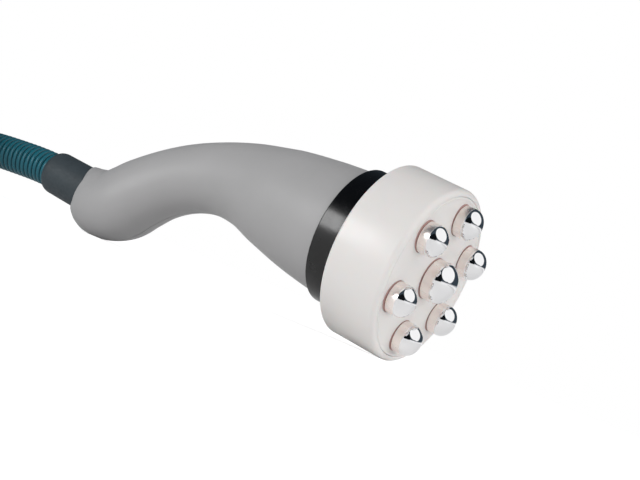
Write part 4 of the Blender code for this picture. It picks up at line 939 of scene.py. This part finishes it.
def strap_band(angle, lift):
    """A band round the piled turns: it follows two straights and two half circles through the
    given angles, lifted by so much at each. Its section is a flat rectangle, rounded outside."""
    push = np.clip(np.sin(angle) * STRAP_CHANGE, -1, 1) * COIL_PITCH
    out = np.array(((-1, 0.35), (-0.97, 0.8), (-0.9, 1), (0.9, 1), (0.97, 0.8), (1, 0.35),
                    (1, 0), (-1, 0)))
    reach = HOSE_RADIUS + GAP + lift[:, None] + TIE_THICKNESS * out[:, 1]
    radial = COIL_RADIUS * math.cos(math.pi / TURN_STEPS) + reach * np.cos(angle)[:, None]
    height = TIE_THICKNESS + GAP + COIL_PITCH + push[:, None] + reach * np.sin(angle)[:, None]
    sideways = np.broadcast_to(out[:, 0] * TIE_WIDTH / 2, radial.shape)
    c, s = math.cos(TIE_ANGLE), math.sin(TIE_ANGLE)
    return COIL_CENTRE + np.stack(
        (radial * c - sideways * s, radial * s + sideways * c, height), -1)


strap_angle = np.linspace(STRAP_START, STRAP_END, 220)
strap_lift = -LAP_DEPTH + LAP_DEPTH * ease((strap_angle - LAP_START) / LAP_TURN)
strap_mesh = skin("coil_strap", strap_band(strap_angle, strap_lift), "flat")
strap = add_piece("coil_strap", strap_mesh, webbing, "black_webbing", "coil_tie")

# Plug
# The far end's round connector. A nickel-plated ferrule is crimped on the hose, then come a
# black nylon backshell and a nickel-plated barrel with its insert and seven gilt pins.
FERRULE_RADIUS, FERRULE_LENGTH, FERRULE_OVER = 10.8 * MM, 17.0 * MM, 8.0 * MM
# Corners of the crimped groove in millimetres: distance from the ferrule's back, and depth
CRIMP = ((3.0, 0), (3.6, 0.5), (5.4, 0.5), (6.0, 0))
BACKSHELL_LENGTH, BACKSHELL_TAPER = 21.0 * MM, 1.6 * MM
BARREL_RADIUS, BARREL_LENGTH = 9.2 * MM, 21.0 * MM
BARREL_FLANGE = 10.4 * MM
PLUG_BORE = 5.5 * MM
PLUG_TURN = np.array(((heading[0], -heading[1], 0), (heading[1], heading[0], 0), (0, 0, 1)))


def plugged(profile, sides=96):
    """A turned piece's grid, put on the hose's end along its heading."""
    return turned(profile, sides) @ PLUG_TURN.T + hose_end


ferrule_back = GAP - FERRULE_OVER
ferrule_front = ferrule_back + FERRULE_LENGTH
ferrule_profile = rounded([
    (ferrule_back, HOSE_RADIUS + GAP, 0.2 * MM), (ferrule_back, FERRULE_RADIUS, 0.8 * MM),
    *((ferrule_back + at * MM, FERRULE_RADIUS - depth * MM, 0.3 * MM) for at, depth in CRIMP),
    (ferrule_front, FERRULE_RADIUS, 0.2 * MM), (ferrule_front, PLUG_BORE, 0),
    (GAP, PLUG_BORE, 0), (GAP, HOSE_RADIUS + GAP, 0),
], 5)
ferrule = add_piece("plug_sleeve", skin("plug_sleeve", plugged(ferrule_profile)), nickel, "nickel",
                    "plug_ferrule")

# Moulded black nylon: half matt and slightly uneven, with a spark-eroded grain of 0.4 mm.
black_nylon = finish("black_nylon", colour=(250, 4, "#1c1c1e", "#29292b"),
                     roughness=(1100, 3, 0.40, 0.58), relief=(2500, 2, 0.015 * MM))
shell_back = ferrule_front + GAP
shell_front = shell_back + BACKSHELL_LENGTH
backshell_profile = rounded([
    (shell_back, PLUG_BORE, 0), (shell_back, FERRULE_RADIUS, 0.3 * MM),
    (shell_back + BACKSHELL_TAPER, BACKSHELL_RADIUS, 0.6 * MM),
    (shell_front, BACKSHELL_RADIUS, 0.8 * MM), (shell_front, PLUG_BORE, 0),
], 6)
backshell = add_piece("plug_shell", skin("plug_shell", plugged(backshell_profile)), black_nylon,
                      "black_plastic", "plug_backshell")

barrel_back = shell_front + GAP
barrel_front = barrel_back + BARREL_LENGTH
step_front = barrel_back + 3.0 * MM
lip_front = step_front + GAP + 2.0 * MM
flange_end = lip_front + GAP + 1.5 * MM
cup_floor = barrel_front - 10.0 * MM
cup_radius = BARREL_RADIUS - 1.4 * MM
barrel_profile = rounded([
    (barrel_back, PLUG_BORE, 0), (barrel_back, BARREL_FLANGE, 0.3 * MM),
    (step_front, BARREL_FLANGE, 0.2 * MM), (step_front, BARREL_RADIUS, 0),
    (lip_front + GAP, BARREL_RADIUS, 0), (lip_front + GAP, BARREL_FLANGE, 0.2 * MM),
    (flange_end, BARREL_FLANGE, 0.2 * MM), (flange_end, BARREL_RADIUS, 0),
    (barrel_front, BARREL_RADIUS, 0.3 * MM), (barrel_front, cup_radius, 0.2 * MM),
    (cup_floor, cup_radius, 0), (cup_floor, PLUG_BORE, 0),
], 5)
barrel = add_piece("plug_tube", skin("plug_tube", plugged(barrel_profile)), nickel, "nickel",
                   "plug_barrel")

dress(black_nylon, "contact_insert")
# Gold flash on brass: a warm, bright metal with a soft gloss.
gilt = finish("gilt_brass", colour=(800, 2, "#d9ae5a", "#e6c077"),
              roughness=(2000, 2, 0.16, 0.30), constants={"Metallic": 1.0})
dress(gilt, *(f"contact_pin_{k}" for k in range(1, 8)))

# Coupling nut
# A knurled sleeve, turned in brass and nickel-plated, that spins freely on the barrel behind
# its flange and would screw onto the machine's socket.
COUPLING_RADIUS, COUPLING_LENGTH = 12.6 * MM, 16.0 * MM
NUT_SIDES = 256
GRIP_GROOVES, GRIP_DEPTH = 16, 0.5 * MM
nut_back = step_front + GAP
nut_front = nut_back + COUPLING_LENGTH
nut_lip = nut_back + 2.0 * MM
nut_hole = BARREL_RADIUS + 0.5 * MM
nut_bore = BARREL_FLANGE + 0.5 * MM
nut_profile = rounded([
    (nut_back, nut_hole, 0.2 * MM), (nut_back, COUPLING_RADIUS, 0.8 * MM),
    (nut_front, COUPLING_RADIUS, 0.8 * MM), (nut_front, nut_bore, 0.2 * MM),
    (nut_lip, nut_bore, 0), (nut_lip, nut_hole, 0),
], 5)
# The knurl: grooves sunk into the outside only, each a cosine cut off at the full depth
nut_grid = turned(nut_profile, NUT_SIDES)
nut_radius = np.hypot(nut_grid[..., 1], nut_grid[..., 2])
nut_turn = np.arange(NUT_SIDES) * math.tau / NUT_SIDES
outside = np.clip((nut_radius - COUPLING_RADIUS + GRIP_DEPTH) / GRIP_DEPTH, 0, 1)
grip = GRIP_DEPTH * outside * np.clip(0.5 - 0.9 * np.cos(GRIP_GROOVES * nut_turn), 0, 1)
nut_grid[..., 1:] *= (1 - grip / nut_radius)[..., None]
nut = add_piece("coupling_sleeve", skin("coupling_sleeve", nut_grid @ PLUG_TURN.T + hose_end),
                nickel, "nickel", "coupling_nut", body="coupling_nut")
